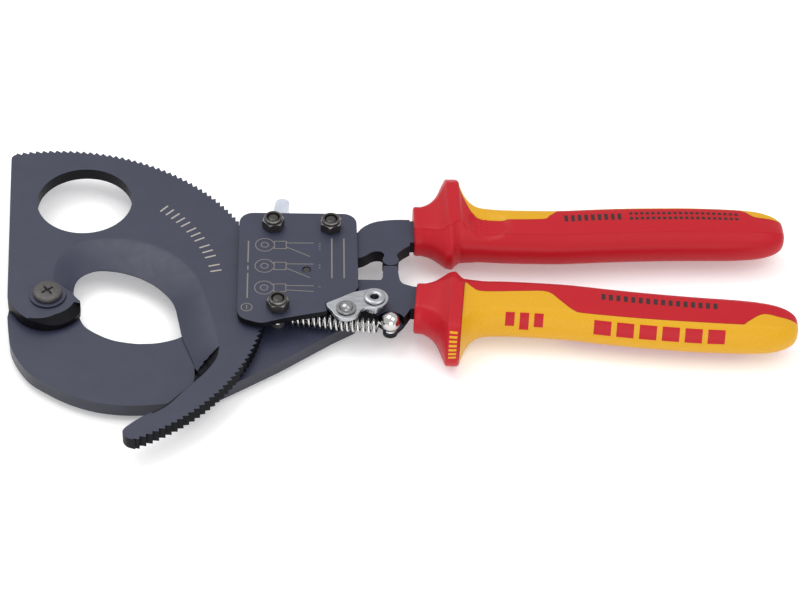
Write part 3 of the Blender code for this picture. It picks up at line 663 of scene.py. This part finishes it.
# Section across a grip from its outward side over the top to its inner side, in half sizes.
HALF_SECTION = ((1.0, 0.0), (0.955, 0.36), (0.83, 0.66), (0.66, 0.9), (0.5, 0.975), (0.0, 1.0),
                (-0.46, 0.995), (-0.54, 0.945), (-0.82, 0.64), (-0.955, 0.36), (-1.0, 0.0))

# Distance along a grip, middle outward, half width and half height, in runs that meet in edges.
COLLAR_RUN = ((0.0, 2.5, 9.2, 6.4), (0.25, 2.5, 9.55, 6.75), (0.9, 2.5, 9.7, 6.9),
              (3.0, 2.45, 9.85, 6.95), (6.0, 2.7, 11.7, 7.15), (8.6, 3.4, 15.0, 7.65),
              (10.6, 4.95, 18.6, 8.6), (11.7, 6.1, 20.1, 9.4), (12.15, 6.42, 20.4, 9.84))
RIM_RUN = ((12.5, 6.45, 20.5, 9.9), (13.4, 6.5, 20.4, 9.9), (14.8, 7.4, 19.3, 9.9),
           (16.1, 7.9, 18.5, 9.9))
HANDLE_RUN = ((16.6, 7.6, 18.1, 9.8), (17.4, 5.5, 16.15, 9.0), (18.9, 3.15, 13.8, 8.3),
              (21.0, 1.5, 12.15, 7.7), (24.0, 0.5, 11.1, 7.35), (31.0, -0.3, 10.9, 7.2),
              (42.0, -0.7, 10.9, 7.2), (53.0, -0.8, 10.9, 7.2), (66.0, -0.1, 10.95, 7.2),
              (78.0, 0.4, 10.95, 7.2), (90.0, 0.6, 10.85, 7.2), (100.0, 0.6, 10.75, 7.2),
              (114.0, 0.2, 10.35, 7.1), (123.0, 0.0, 9.5, 6.7), (128.5, -0.2, 8.0, 5.7),
              (131.8, -0.3, 5.9, 4.3), (133.1, -0.3, 3.9, 2.9), (133.6, -0.3, 1.8, 1.3))
PAD_START = 16.6
PAD_GAP = 0.14
FIXED_PAD_LINE = ((PAD_START, 16.0), (19.1, 8.7), (21.1, 4.0), (23.3, 2.4), (27.8, 1.4), (46.0, 1.4),
                  (48.5, 3.0), (51.0, 4.9), (55.0, 6.6), (84.0, 7.0), (114.0, 6.8), (119.0, 5.6),
                  (121.4, 3.6), (123.6, 2.6), (129.0, 2.6), (134.0, 2.6))
MOVING_PAD_LINE = ((PAD_START, -3.4), (19.5, -1.6), (23.0, -0.8), (37.3, -2.6), (45.6, -3.1),
                   (50.2, 0.7), (55.0, 5.0), (60.0, 6.0), (83.4, 6.6), (111.5, 6.0), (114.6, 5.1),
                   (119.4, 0.8), (122.4, -0.2), (126.0, 0.2), (134.0, 0.2))
RUN_STEPS = 8
ARC_POINTS = 24
SCOOP_MIDDLE = (26.5, -1.5)    # of the thumb scoop, along the grip and outward
SCOOP_REACH = (8.2, 6.4)
SCOOP_DEPTH = 0.9
SCOOP_RIM = 0.22               # share of its reach over which the scoop sinks in
BAR_HALF = 5.6                 # half width, end and start of the steel bars inside the grips
BAR_END = 105.0
BAR_START = -1.5


def grip_frame(label):
    """Matrix from a grip's own axes (along, outward, up) to the tool's."""
    start_y, tilt, side, _ = GRIPS[label]
    place = Matrix.Translation((GRIP_START_X, start_y, GRIP_MID_Z))
    return place @ Matrix.Rotation(radians(tilt), 4, "Z") @ Matrix.Diagonal((1, side, 1, 1))


def half_section(t):
    """Point (outward, up) in half sizes at t, from 0 on the outward side to 1 on the inner side."""
    spans = len(HALF_SECTION) - 1
    index = min(int(t * spans), spans - 1)
    ends = {-1: (HALF_SECTION[1][0], -HALF_SECTION[1][1]),
            spans + 1: (HALF_SECTION[-2][0], -HALF_SECTION[-2][1])}
    p = [ends.get(index + k - 1) or HALF_SECTION[index + k - 1] for k in range(4)]
    return blend_point(p, t * spans - index)


def section_split(share):
    """Value of t where the section is share of its half width outward."""
    low, high = 0.0, 1.0
    for _ in range(26):
        middle = (low + high) / 2
        if half_section(middle)[0] > share:
            low = middle
        else:
            high = middle
    return low


def interpolate(points, along):
    """Point on a straight-sided line at a distance that its points give in their first value."""
    for first, second in zip(points, points[1:]):
        if first[0] <= along <= second[0] and second[0] > first[0]:
            share = (along - first[0]) / (second[0] - first[0])
            return tuple(a + (b - a) * share for a, b in zip(first, second))
    return points[-1] if along > points[-1][0] else points[0]


def dish(label, along, outward):
    """Depth of the thumb scoop behind the guard, on the top of the fixed grip only."""
    if label != "fixed":
        return 0.0
    reach = hypot((along - SCOOP_MIDDLE[0]) / SCOOP_REACH[0],
                  (outward - SCOOP_MIDDLE[1]) / SCOOP_REACH[1])
    if reach >= 1:
        return 0.0
    rim = min(1.0, (1 - reach) / SCOOP_RIM)
    return SCOOP_DEPTH * rim * rim * (3 - 2 * rim)


def grip_surface(label, station, t, sign):
    """Point on a grip's skin in its own axes."""
    along, middle, half, height = station
    x, z = half_section(t)
    outward = middle + half * x
    up = height * z
    if sign > 0:
        up -= dish(label, along, outward) * z
    return (along, outward, sign * up)


def grip_arcs(label, station, split):
    """Outward and inner arcs of a ring as point lists, both run from the top split point."""
    shares = [i / ARC_POINTS for i in range(ARC_POINTS + 1)]
    arcs = []
    for end in (0, 1):
        around = [split + (end - split) * s for s in shares]
        points = [grip_surface(label, station, t, 1) for t in around]
        arcs.append(points + [grip_surface(label, station, t, -1) for t in around[-2::-1]])
    return arcs


def split_of(line, station, shift=0.0):
    """Value of t where the parting line crosses a station's ring."""
    along, middle, half, _ = station
    outward = interpolate(smooth(line, 6), max(along, PAD_START))[1]
    share = (outward + shift - middle) / half
    return section_split(min(max(share, -0.97), 0.97))


def strip(bm, first, second):
    """Faces between two open rows of vertices."""
    for i in range(len(first) - 1):
        bm.faces.new((first[i], first[i + 1], second[i + 1], second[i]))


def make_grip(label, line):
    """Red grip, and the yellow pad that fills its outward side behind the guard."""
    place, body = grip_frame(label), GRIPS[label][-1]
    front = smooth(COLLAR_RUN, RUN_STEPS) + smooth(RIM_RUN, RUN_STEPS)
    rear = smooth(HANDLE_RUN, RUN_STEPS)
    red = bmesh.new()

    def row(points):
        return [red.verts.new(place @ Vector(p)) for p in points]

    rows = []
    for station in front + rear[:1]:
        outward, inner = grip_arcs(label, station, split_of(line, station))
        rows.append((row(outward), row(inner[1:-1])))
    for (out_a, in_a), (out_b, in_b) in zip(rows, rows[1:]):
        strip(red, out_a, out_b)
        strip(red, [out_a[0]] + in_a + [out_a[-1]], [out_b[0]] + in_b + [out_b[-1]])
    first_out, first_in = rows[0]
    red.faces.new(first_out + first_in[::-1])
    wall_out, wall_in = rows[-1]
    red.faces.new(wall_out)
    previous = [wall_out[0]] + wall_in + [wall_out[-1]]
    for station in rear[1:]:
        _, inner = grip_arcs(label, station, split_of(line, station))
        current = row(inner)
        strip(red, previous, current)
        red.faces.new((previous[0], current[0], current[-1], previous[-1]))
        previous = current
    red.faces.new(previous)
    add_piece(label + "_grip_body", face_outward(red), [RED], body, label + "_grip",
              crease=40, weighted=False)
    sections = []
    for station in rear:
        pushed = (station[0] + PAD_GAP, *station[1:])
        outward, _ = grip_arcs(label, pushed, split_of(line, pushed, PAD_GAP))
        sections.append([place @ Vector(p) for p in outward])
    pad = label + "_grip_pad"
    add_piece(pad + "_body", loft_mesh(sections), [YELLOW], body, pad, crease=40,
              weighted=False)


def tang_bar(label):
    """Tapered bar inside a grip, as (x, y) points in counter-clockwise order."""
    place = grip_frame(label)
    half = BAR_HALF * GRIPS[label][2]
    corners = ((BAR_START, -half), (BAR_END, -0.7 * half), (BAR_END, 0.7 * half), (BAR_START, half))
    return [tuple((place @ Vector((u, v, 0))).to_2d()) for u, v in corners]


def make_fixed_tang():
    bolt = BOLTS["top_right"]
    outline = arc(bolt, 8.6, 40, 85, 10) + [(88.0, 39.4), (86.6, 31.0), (92.5, 25.6), (98.0, 21.0)]
    outline += smooth(((98.0, 21.0), (102.5, 19.8), (107.0, 19.6), (110.2, 20.6), (113.4, 23.0),
                       (116.0, 23.4), (117.3, 22.4)), 4)[1:]
    outline += arc((119.8, 19.2), 2.9, 140, 400, 40)
    outline += smooth(((122.4, 22.4), (124.2, 24.4), (126.8, 26.6)), 4)
    outline += tang_bar("fixed")
    outline += smooth(((127.0, 40.1), (121.7, 40.1), (116.5, 39.4), (113.8, 38.5), (111.6, 37.2),
                       (109.8, 35.6), (108.0, 33.0)), 4)
    holes = holes_at([bolt], BOLT_HOLE) + holes_at(DOWELS, DOWEL_HOLE)
    # Its cut edges take the near-black copy: painted shade.
    add_plate("fixed_tang_body", "fixed_handle_tang", "frame", TANG_Z, outline, holes, 0.3,
              [FACE, SHADED_EDGE])


def make_moving_tang():
    outline = arc(HANDLE_HINGE, 11.0, 30, 90, 16) + arc(DRIVE_PAWL_PIVOT, 4.2, 80, 230, 20)
    outline += [(83.2, 3.0), (88.0, -1.6), (98.0, -3.2), (106.0, -7.2), (113.2, -8.0)]
    outline += arc(BALL_STUD, 2.6, 150, 350, 40) + [(123.8, -10.4)]
    outline += tang_bar("moving")
    outline += smooth(((125.4, 6.3), (123.9, 7.0), (123.0, 8.4), (122.6, 10.2)), 4)
    outline += arc((121.2, 15.0), 0.9, 0, 90, 5) + arc((118.0, 15.0), 0.9, 90, 180, 5)
    outline += smooth(((116.8, 10.2), (116.4, 9.1), (115.4, 8.7), (107.0, 8.8)), 4)
    holes = [hole(HANDLE_HINGE, 4.2), hole(DRIVE_PAWL_PIVOT, 1.7, segments=32),
             hole(LATCH_PIVOT, 2.5, segments=48), hole(BALL_STUD, 1.45, segments=32)]
    step = ((70.0, -4.0), (87.5, -4.0), (86.8, 3.0), (84.2, 7.2), (84.4, 11.0), (85.0, 13.4),
            (86.0, 16.0), (87.5, 20.0), (88.0, 26.0), (70.0, 26.0))
    pawl_low, above = levels("drive_pawl")[0], TANG_Z[1] + 2
    holes += [prism_mesh(step, pawl_low - 0.25, above), hole(BALL_STUD, 5.4, pawl_low - 1.15, above)]
    # Its cut edges take the near-black copy: painted shade.
    add_plate("moving_tang_body", "moving_handle_tang", "moving_handle", TANG_Z, outline, holes, 0.3,
              [FACE, SHADED_EDGE])


# ---------------- latch, pawl lever and spring

def make_latch():
    """Latch plate, the eyelet it turns on and its domed button."""
    outline = [(97.2, -9.3), (96.8, -7.9), (97.6, -7.2)]
    outline += smooth(((102.2, -4.6), (104.6, -3.1), (107.0, -1.9), (110.6, -0.9)), 4)
    outline += arc(LATCH_PIVOT, 4.9, 110, -100, 40)
    outline += smooth(((111.6, -9.6), (110.2, -9.9), (108.9, -11.0)), 4)
    outline += arc(LATCH_BUTTON, 5.0, -22, -165, 24)
    holes = [hole(LATCH_PIVOT, 2.5), hole(LATCH_BUTTON, 1.6, segments=32)]
    add_plate("latch_plate_body", "latch_plate", "latch", LATCH_Z, outline, holes, 0.22, [ZINC])
    low, high = levels("latch_eyelet")
    eyelet = ((1.4, low), (2.2, low), (2.2, low + 5.25), (3.6, low + 5.25), (3.6, low + 7.7),
              (2.2, low + 7.7), (2.2, high - 0.8), (3.55, high - 0.8), (3.75, high - 0.65),
              (3.72, high - 0.42), (3.45, high - 0.14), (2.9, high), (2.1, high), (1.7, high - 0.12),
              (1.45, high - 0.45))
    add_turned("latch_eyelet", eyelet, LATCH_PIVOT, ZINC, "moving_handle")
    low, high = levels("latch_button")
    brim = low + 1.6
    dome = [(2.45 * cos(radians(a)), high - 1.6 + 1.6 * sin(radians(a))) for a in range(0, 90, 10)]
    button = [(0, low), (1.3, low), (1.3, brim), (3.4, brim), (3.5, brim + 0.1), (3.5, brim + 0.4),
              (3.35, brim + 0.58), (2.9, brim + 0.62)] + dome + [(0, high)]
    add_turned("latch_button", button, LATCH_BUTTON, RIVET, "latch")


def make_ball_stud():
    """Stud with a polished ball on its neck."""
    low, high = levels("spring_ball_stud")
    radius = 3.4
    ball = arc((0.0, high - radius), radius, -68, 88, 39)
    stud = [(0, low), (BALL_NECK, low), (BALL_NECK, ball[0][1])] + ball + [(0, high)]
    add_piece("spring_ball_body", turned_mesh(stud, BALL_STUD), [CHROME], "moving_handle",
              "spring_ball_stud")


def make_release_lever():
    """Locking pawl, whose rounded tab sticks out above the cover's upper edge."""
    pivot = BOLTS["top_left"]
    outline = [(73.7, 21.95), (75.1, 19.9), (77.2, 20.2), (81.0, 27.0)]
    outline += arc(pivot, 5.0, -30, 60, 12)
    tab_centre, tab_radius = (81.2, 48.4), 2.6
    outline += [(82.6, 42.0)] + arc(tab_centre, tab_radius, 0, 180, 24) + [(77.6, 42.0)]
    outline += arc(pivot, 5.0, 110, 215, 14)
    add_plate("lock_pawl_body", "lock_pawl", "lock_pawl", levels("lock_pawl"), outline,
              [hole(pivot, 3.0, segments=48)], 0.35, [TAB], segments=3)


def tube_mesh(points, radius, sides=10):
    """Round wire along the points, with flat ends."""
    line = [Vector(p) for p in points]
    normal = Vector((0, 0, 1))
    sections = []
    for i, here in enumerate(line):
        along = (line[min(i + 1, len(line) - 1)] - line[max(i - 1, 0)]).normalized()
        normal = (normal - along * normal.dot(along)).normalized()
        across = along.cross(normal)
        sections.append([here + radius * (cos(a) * normal + sin(a) * across)
                         for a in (2 * pi * k / sides for k in range(sides))])
    return loft_mesh(sections)


def make_return_spring():
    """Extension spring from its spacer to the neck of the ball stud."""
    wire, coil, coils = 0.43, 2.42, 16
    level, hook_level = 9.95, 9.28
    start = Vector((*BOLTS["bottom_left"], level))
    end = Vector((*BALL_STUD, level))
    along = (end - start).normalized()
    across = Vector((-along.y, along.x, 0))
    up = Vector((0, 0, 1))
    slack = 0.25
    spacer_radius = 2.7
    loop = spacer_radius + wire + slack
    neck = BALL_NECK + wire + slack

    def ring(middle, radius, degrees):
        turns = [radians(d) for d in degrees]
        return [middle + radius * (cos(a) * along + sin(a) * across) for a in turns]

    points = ring(start, loop, range(-70, -331, -10))
    first = start + along * (loop + 1.2)
    last = end - along * (neck + 2.6)
    per_turn = 20
    for i in range(coils * per_turn + 1):
        angle = 2 * pi * i / per_turn
        middle = first + (last - first) * i / (coils * per_turn)
        points.append(middle + coil * (cos(angle) * across + sin(angle) * up))
    hook = Vector((end.x, end.y, hook_level))
    points += ring(hook, neck, range(150, -141, -15))
    item = raw_object("return_spring_wire", tube_mesh(points, wire))
    item.data.materials.append(BRIGHT)
    item.data.shade_smooth()
    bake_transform(item)
    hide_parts("return_spring")


def dress_inner_nodes():
    """Better materials for the CAD nodes that stay as they are."""
    finishes = (
        (SPACER, ("lock_pawl_sleeve", "spring_spacer")), (OXIDE, ("handle_hinge_pin",)),
        (BRONZE, ("pivot_bush",)),
        (BRIGHT, ("tang_dowel_1", "tang_dowel_2", "drive_pawl", "drive_pawl_pin", "drive_pawl_spring",
                  "lock_pawl_spring")),
    )
    for made, nodes in finishes:
        for node in nodes:
            for place in frame["nodes"][node].material_slots:
                place.material = made


# ---------------- marks

def ribbon(bm, points, width, low, high):
    """Adds a flat line along (x, y) points, closed where it ends at its first point."""
    line = [Vector(p) for p in points]
    closed = (line[0] - line[-1]).length < 1e-6
    if closed:
        line.pop()
    count = len(line)
    left, right = [], []
    for i, here in enumerate(line):
        before = line[i - 1] if closed or i > 0 else here
        after = line[(i + 1) % count] if closed or i < count - 1 else here
        first = (here - before).normalized() if here != before else (after - here).normalized()
        second = (after - here).normalized() if after != here else first
        middle = (first + second).normalized()
        across = Vector((-middle.y, middle.x)) * width / 2 / max(0.35, middle.dot(first))
        left.append(here + across)
        right.append(here - across)
    corners = [[bm.verts.new((p.x, p.y, z)) for p in side] for side, z in
               ((left, low), (right, low), (right, high), (left, high))]
    spans = count if closed else count - 1
    for i in range(spans):
        j = (i + 1) % count
        for k in range(4):
            m = (k + 1) % 4
            bm.faces.new((corners[k][i], corners[m][i], corners[m][j], corners[k][j]))
    if not closed:
        bm.faces.new([corners[k][0] for k in range(4)])
        bm.faces.new([corners[k][-1] for k in range(4)])


def marks_piece(name, lines, width, level, body, made):
    """Piece made of flat lines, each a list of points, just proud of a level."""
    bm = bmesh.new()
    for points in lines:
        ribbon(bm, points, width, level - 0.03, level + 0.02)
    add_piece(name, face_outward(bm), [made], body, weighted=False)


def make_blade_marks():
    """Plain bars in an arc in front of the teeth."""
    inner, outer = 57.6, 61.6
    lines = []
    for group_start, count in ((49.5, 5), (35.0, 3), (25.6, 3), (15.6, 2)):
        for i in range(count):
            angle = radians(group_start - 2.75 * i)
            direction = Vector((cos(angle), sin(angle)))
            lines.append((direction * inner, direction * outer))
    marks_piece("blade_marks", lines, 0.62, BLADE_Z[1], "moving_blade", ETCHED)


def tool_sign(x, y, spread):
    """Small line drawing of pliers: ring, box and two handles that are spread degrees apart."""
    left, right, low, high = x + 3.4, x + 7.6, y - 1.9, y + 1.9
    box = ((left, low), (right, low), (right, high), (left, high), (left, low))
    lines = [arc((x, y), 3.3, 20, 340, 24), arc((x, y), 1.3, 0, 360, 12), box]
    for side, turn in ((1, 0.0), (-1, spread)):
        tilt = radians(turn)
        start = Vector((x + 7.8, y + 1.1 * side))
        along = Vector((cos(tilt), -sin(tilt)))
        lines.append((start, start + along * 9.5))
    return lines


def make_cover_marks():
    """Three line signs with dots beside them, a small round sign and plain bars."""
    lines = []
    for number, (y, spread) in enumerate(((1.6, 4.0), (12.6, 30.0), (23.4, 30.0)), 1):
        lines += tool_sign(75.2, y, spread)
        for dot in range(number):
            height = y + 0.6 - 1.3 * dot
            lines.append(((94.25, height), (94.95, height)))
    lines += [arc((69.3, -8.2), 1.9, 0, 360, 24), ((69.3, -9.2), (69.3, -7.2))]
    marks_piece("cover_signs", lines, 0.3, COVER_Z[1], "frame", FAINT_MARK)
    upright = ((69.4, -3.6, 8.9), (69.4, 10.6, 12.6), (69.4, 14.4, 25.4), (98.9, 6.6, 27.0),
               (103.2, 6.6, 27.0))
    bars = [((x, start), (x, end)) for x, start, end in upright]
    marks_piece("cover_bars", bars, 0.5, COVER_Z[1], "frame", FAINT_MARK)


def station_at(along):
    """Grip station at a distance along it."""
    return interpolate(smooth(COLLAR_RUN, 4) + smooth(RIM_RUN, 4) + smooth(HANDLE_RUN, 4), along)


def grip_mark(bm, label, bounds, lift=0.03, steps=8):
    """Thin closed patch over a grip, from u0 to u1 along it and from t0 to t1 round its section."""
    place = grip_frame(label)
    u0, u1, t0, t1 = bounds
    layers = []
    for height in (-0.12, lift):
        grid = []
        for i in range(steps + 1):
            station = station_at(u0 + (u1 - u0) * i / steps)
            lifted = (station[0], station[1], station[2] + height, station[3] + height)
            turns = [t0 + (t1 - t0) * j / steps for j in range(steps + 1)]
            points = [grip_surface(label, lifted, t, 1) for t in turns]
            grid.append([bm.verts.new(place @ Vector(p)) for p in points])
        layers.append(grid)
    for grid in layers:
        for first, second in zip(grid, grid[1:]):
            strip(bm, first, second)
    bottom, top = layers
    for k in (0, -1):
        strip(bm, bottom[k], top[k])
        strip(bm, [row[k] for row in bottom], [row[k] for row in top])


def grip_marks_piece(name, label, patches, made):
    """Piece made of patches, each given as the bounds that grip_mark takes."""
    bm = bmesh.new()
    for bounds in patches:
        grip_mark(bm, label, bounds)
    add_piece(name, face_outward(bm), [made], GRIPS[label][-1], crease=60, weighted=False)


def make_scoop_bumps():
    """Small round bumps in the thumb scoop behind the fixed grip's guard."""
    place = grip_frame("fixed")
    bm = bmesh.new()
    for column in range(3):
        for step in range(4 - column % 2):
            along, outward = 22.0 + 1.9 * column, 1.6 - 1.9 * step - 0.9 * (column % 2)
            station = station_at(along)
            t = section_split((outward - station[1]) / station[2])
            point = place @ Vector(grip_surface("fixed", station, t, 1))
            spot = Matrix.Translation(point) @ Matrix.Diagonal((1, 1, 0.5, 1))
            bmesh.ops.create_icosphere(bm, subdivisions=2, radius=0.36, matrix=spot)
    add_piece("fixed_grip_bumps", bm, [RED], "frame", crease=60, weighted=False)


def make_grip_marks():
    """Plain raised bars and printed dashes where a tool of this kind carries its markings."""
    ribs = [(62.4 + 7.9 * i, 68.4 + 7.9 * i, 0.05, 0.25) for i in range(6)]
    ribs += [(31.6 + 5.0 * i, 34.8 + 5.0 * i, 0.03 + 0.05 * abs(1 - i), 0.27) for i in range(3)]
    grip_marks_piece("moving_grip_ribs", "moving", ribs, RED)
    ticks = [(12.9, 15.6, 0.02 + 0.038 * i, 0.04 + 0.038 * i) for i in range(7)]
    grip_marks_piece("moving_guard_ticks", "moving", ticks, YELLOW)
    dashes = [(64.5 + 2.6 * i, 65.9 + 2.6 * i, 0.515, 0.566) for i in range(16)]
    grip_marks_piece("moving_grip_print", "moving", dashes, DARK_PRINT)
    dashes = [(54.0 + 2.4 * i, 55.3 + 2.4 * i, 0.43, 0.485) for i in range(9)]
    dashes += [(77.5 + 2.0 * i, 78.7 + 2.0 * i, t, t + 0.024) for i in range(20) for t in (0.42, 0.465)]
    grip_marks_piece("fixed_grip_print", "fixed", dashes, DARK_PRINT)


# ---------------- stage

def make_camera():
    """Three-quarter view from the front and above, turned slightly."""
    right = Vector((0.99932, -0.01993, 0.03106))
    up = Vector((-0.00834, 0.69777, 0.71627))
    back = Vector((-0.03595, -0.71604, 0.69713))
    aim = Vector((0.0, 0.0, 12.0 * MM))
    shift_right, shift_up, distance = 0.12265, -0.00163, 1.0106
    where = aim + right * shift_right + up * shift_up + back * distance
    data = bpy.data.cameras.new("camera")
    data.lens = 130.6
    data.sensor_width = 36.0
    data.clip_start, data.clip_end = 0.05, 20.0
    camera = show(bpy.data.objects.new("camera", data))
    turn = Matrix((right, up, back)).transposed().to_4x4()
    camera.matrix_world = Matrix.Translation(where) @ turn
    bpy.context.scene.camera = camera


def make_stage():
    """Plain pale floor just under the tool."""
    mesh = bpy.data.meshes.new("floor")
    half = 3.0
    low = -0.0006
    corners = [(-half, -half, low), (half, -half, low), (half, half, low), (-half, half, low)]
    mesh.from_pydata(corners, [], [(0, 1, 2, 3)])
    floor = show(bpy.data.objects.new("floor", mesh))
    paint = new_material("floor_paint", (0.9, 0.9, 0.9), 0.8, 0.0, 0.1)
    set_inputs(paint.node_tree.nodes["Principled BSDF"],
               {"Emission Color": (1, 1, 1, 1), "Emission Strength": 0.22})
    mesh.materials.append(paint)


def make_lights():
    """Soft white surroundings and three area lights."""
    world = bpy.data.worlds.new("studio")
    bpy.context.scene.world = world
    world.use_nodes = True
    set_inputs(world.node_tree.nodes["Background"], {"Color": (1, 1, 1, 1), "Strength": 0.78})
    middle = Vector((0.12, 0.0, 0.0))
    for name, where, size, power in (
        ("key", (-0.25, 0.35, 1.1), 0.8, 6.0),
        ("fill", (0.6, -0.2, 1.0), 0.7, 2.5),
        ("front", (0.15, -1.1, 0.45), 0.8, 3.6),
    ):
        data = bpy.data.lights.new(name, "AREA")
        data.size = size
        data.energy = power
        light = show(bpy.data.objects.new(name, data))
        light.location = where
        light.rotation_mode = "QUATERNION"
        light.rotation_quaternion = (middle - light.location).to_track_quat("-Z", "Y")
    bpy.context.scene.view_settings.view_transform = "Standard"


def main():
    make_camera()
    make_stage()
    make_lights()
    make_moving_blade()
    make_fixed_blade()
    make_cover()
    for label, turn in (("top_left", 10), ("top_right", 25), ("bottom_left", 0)):
        make_nut(label, turn)
    make_pivot()
    make_fixed_tang()
    make_moving_tang()
    make_grip("fixed", FIXED_PAD_LINE)
    make_grip("moving", MOVING_PAD_LINE)
    make_latch()
    make_ball_stud()
    make_release_lever()
    make_return_spring()
    dress_inner_nodes()
    make_blade_marks()
    make_cover_marks()
    make_scoop_bumps()
    make_grip_marks()


main()
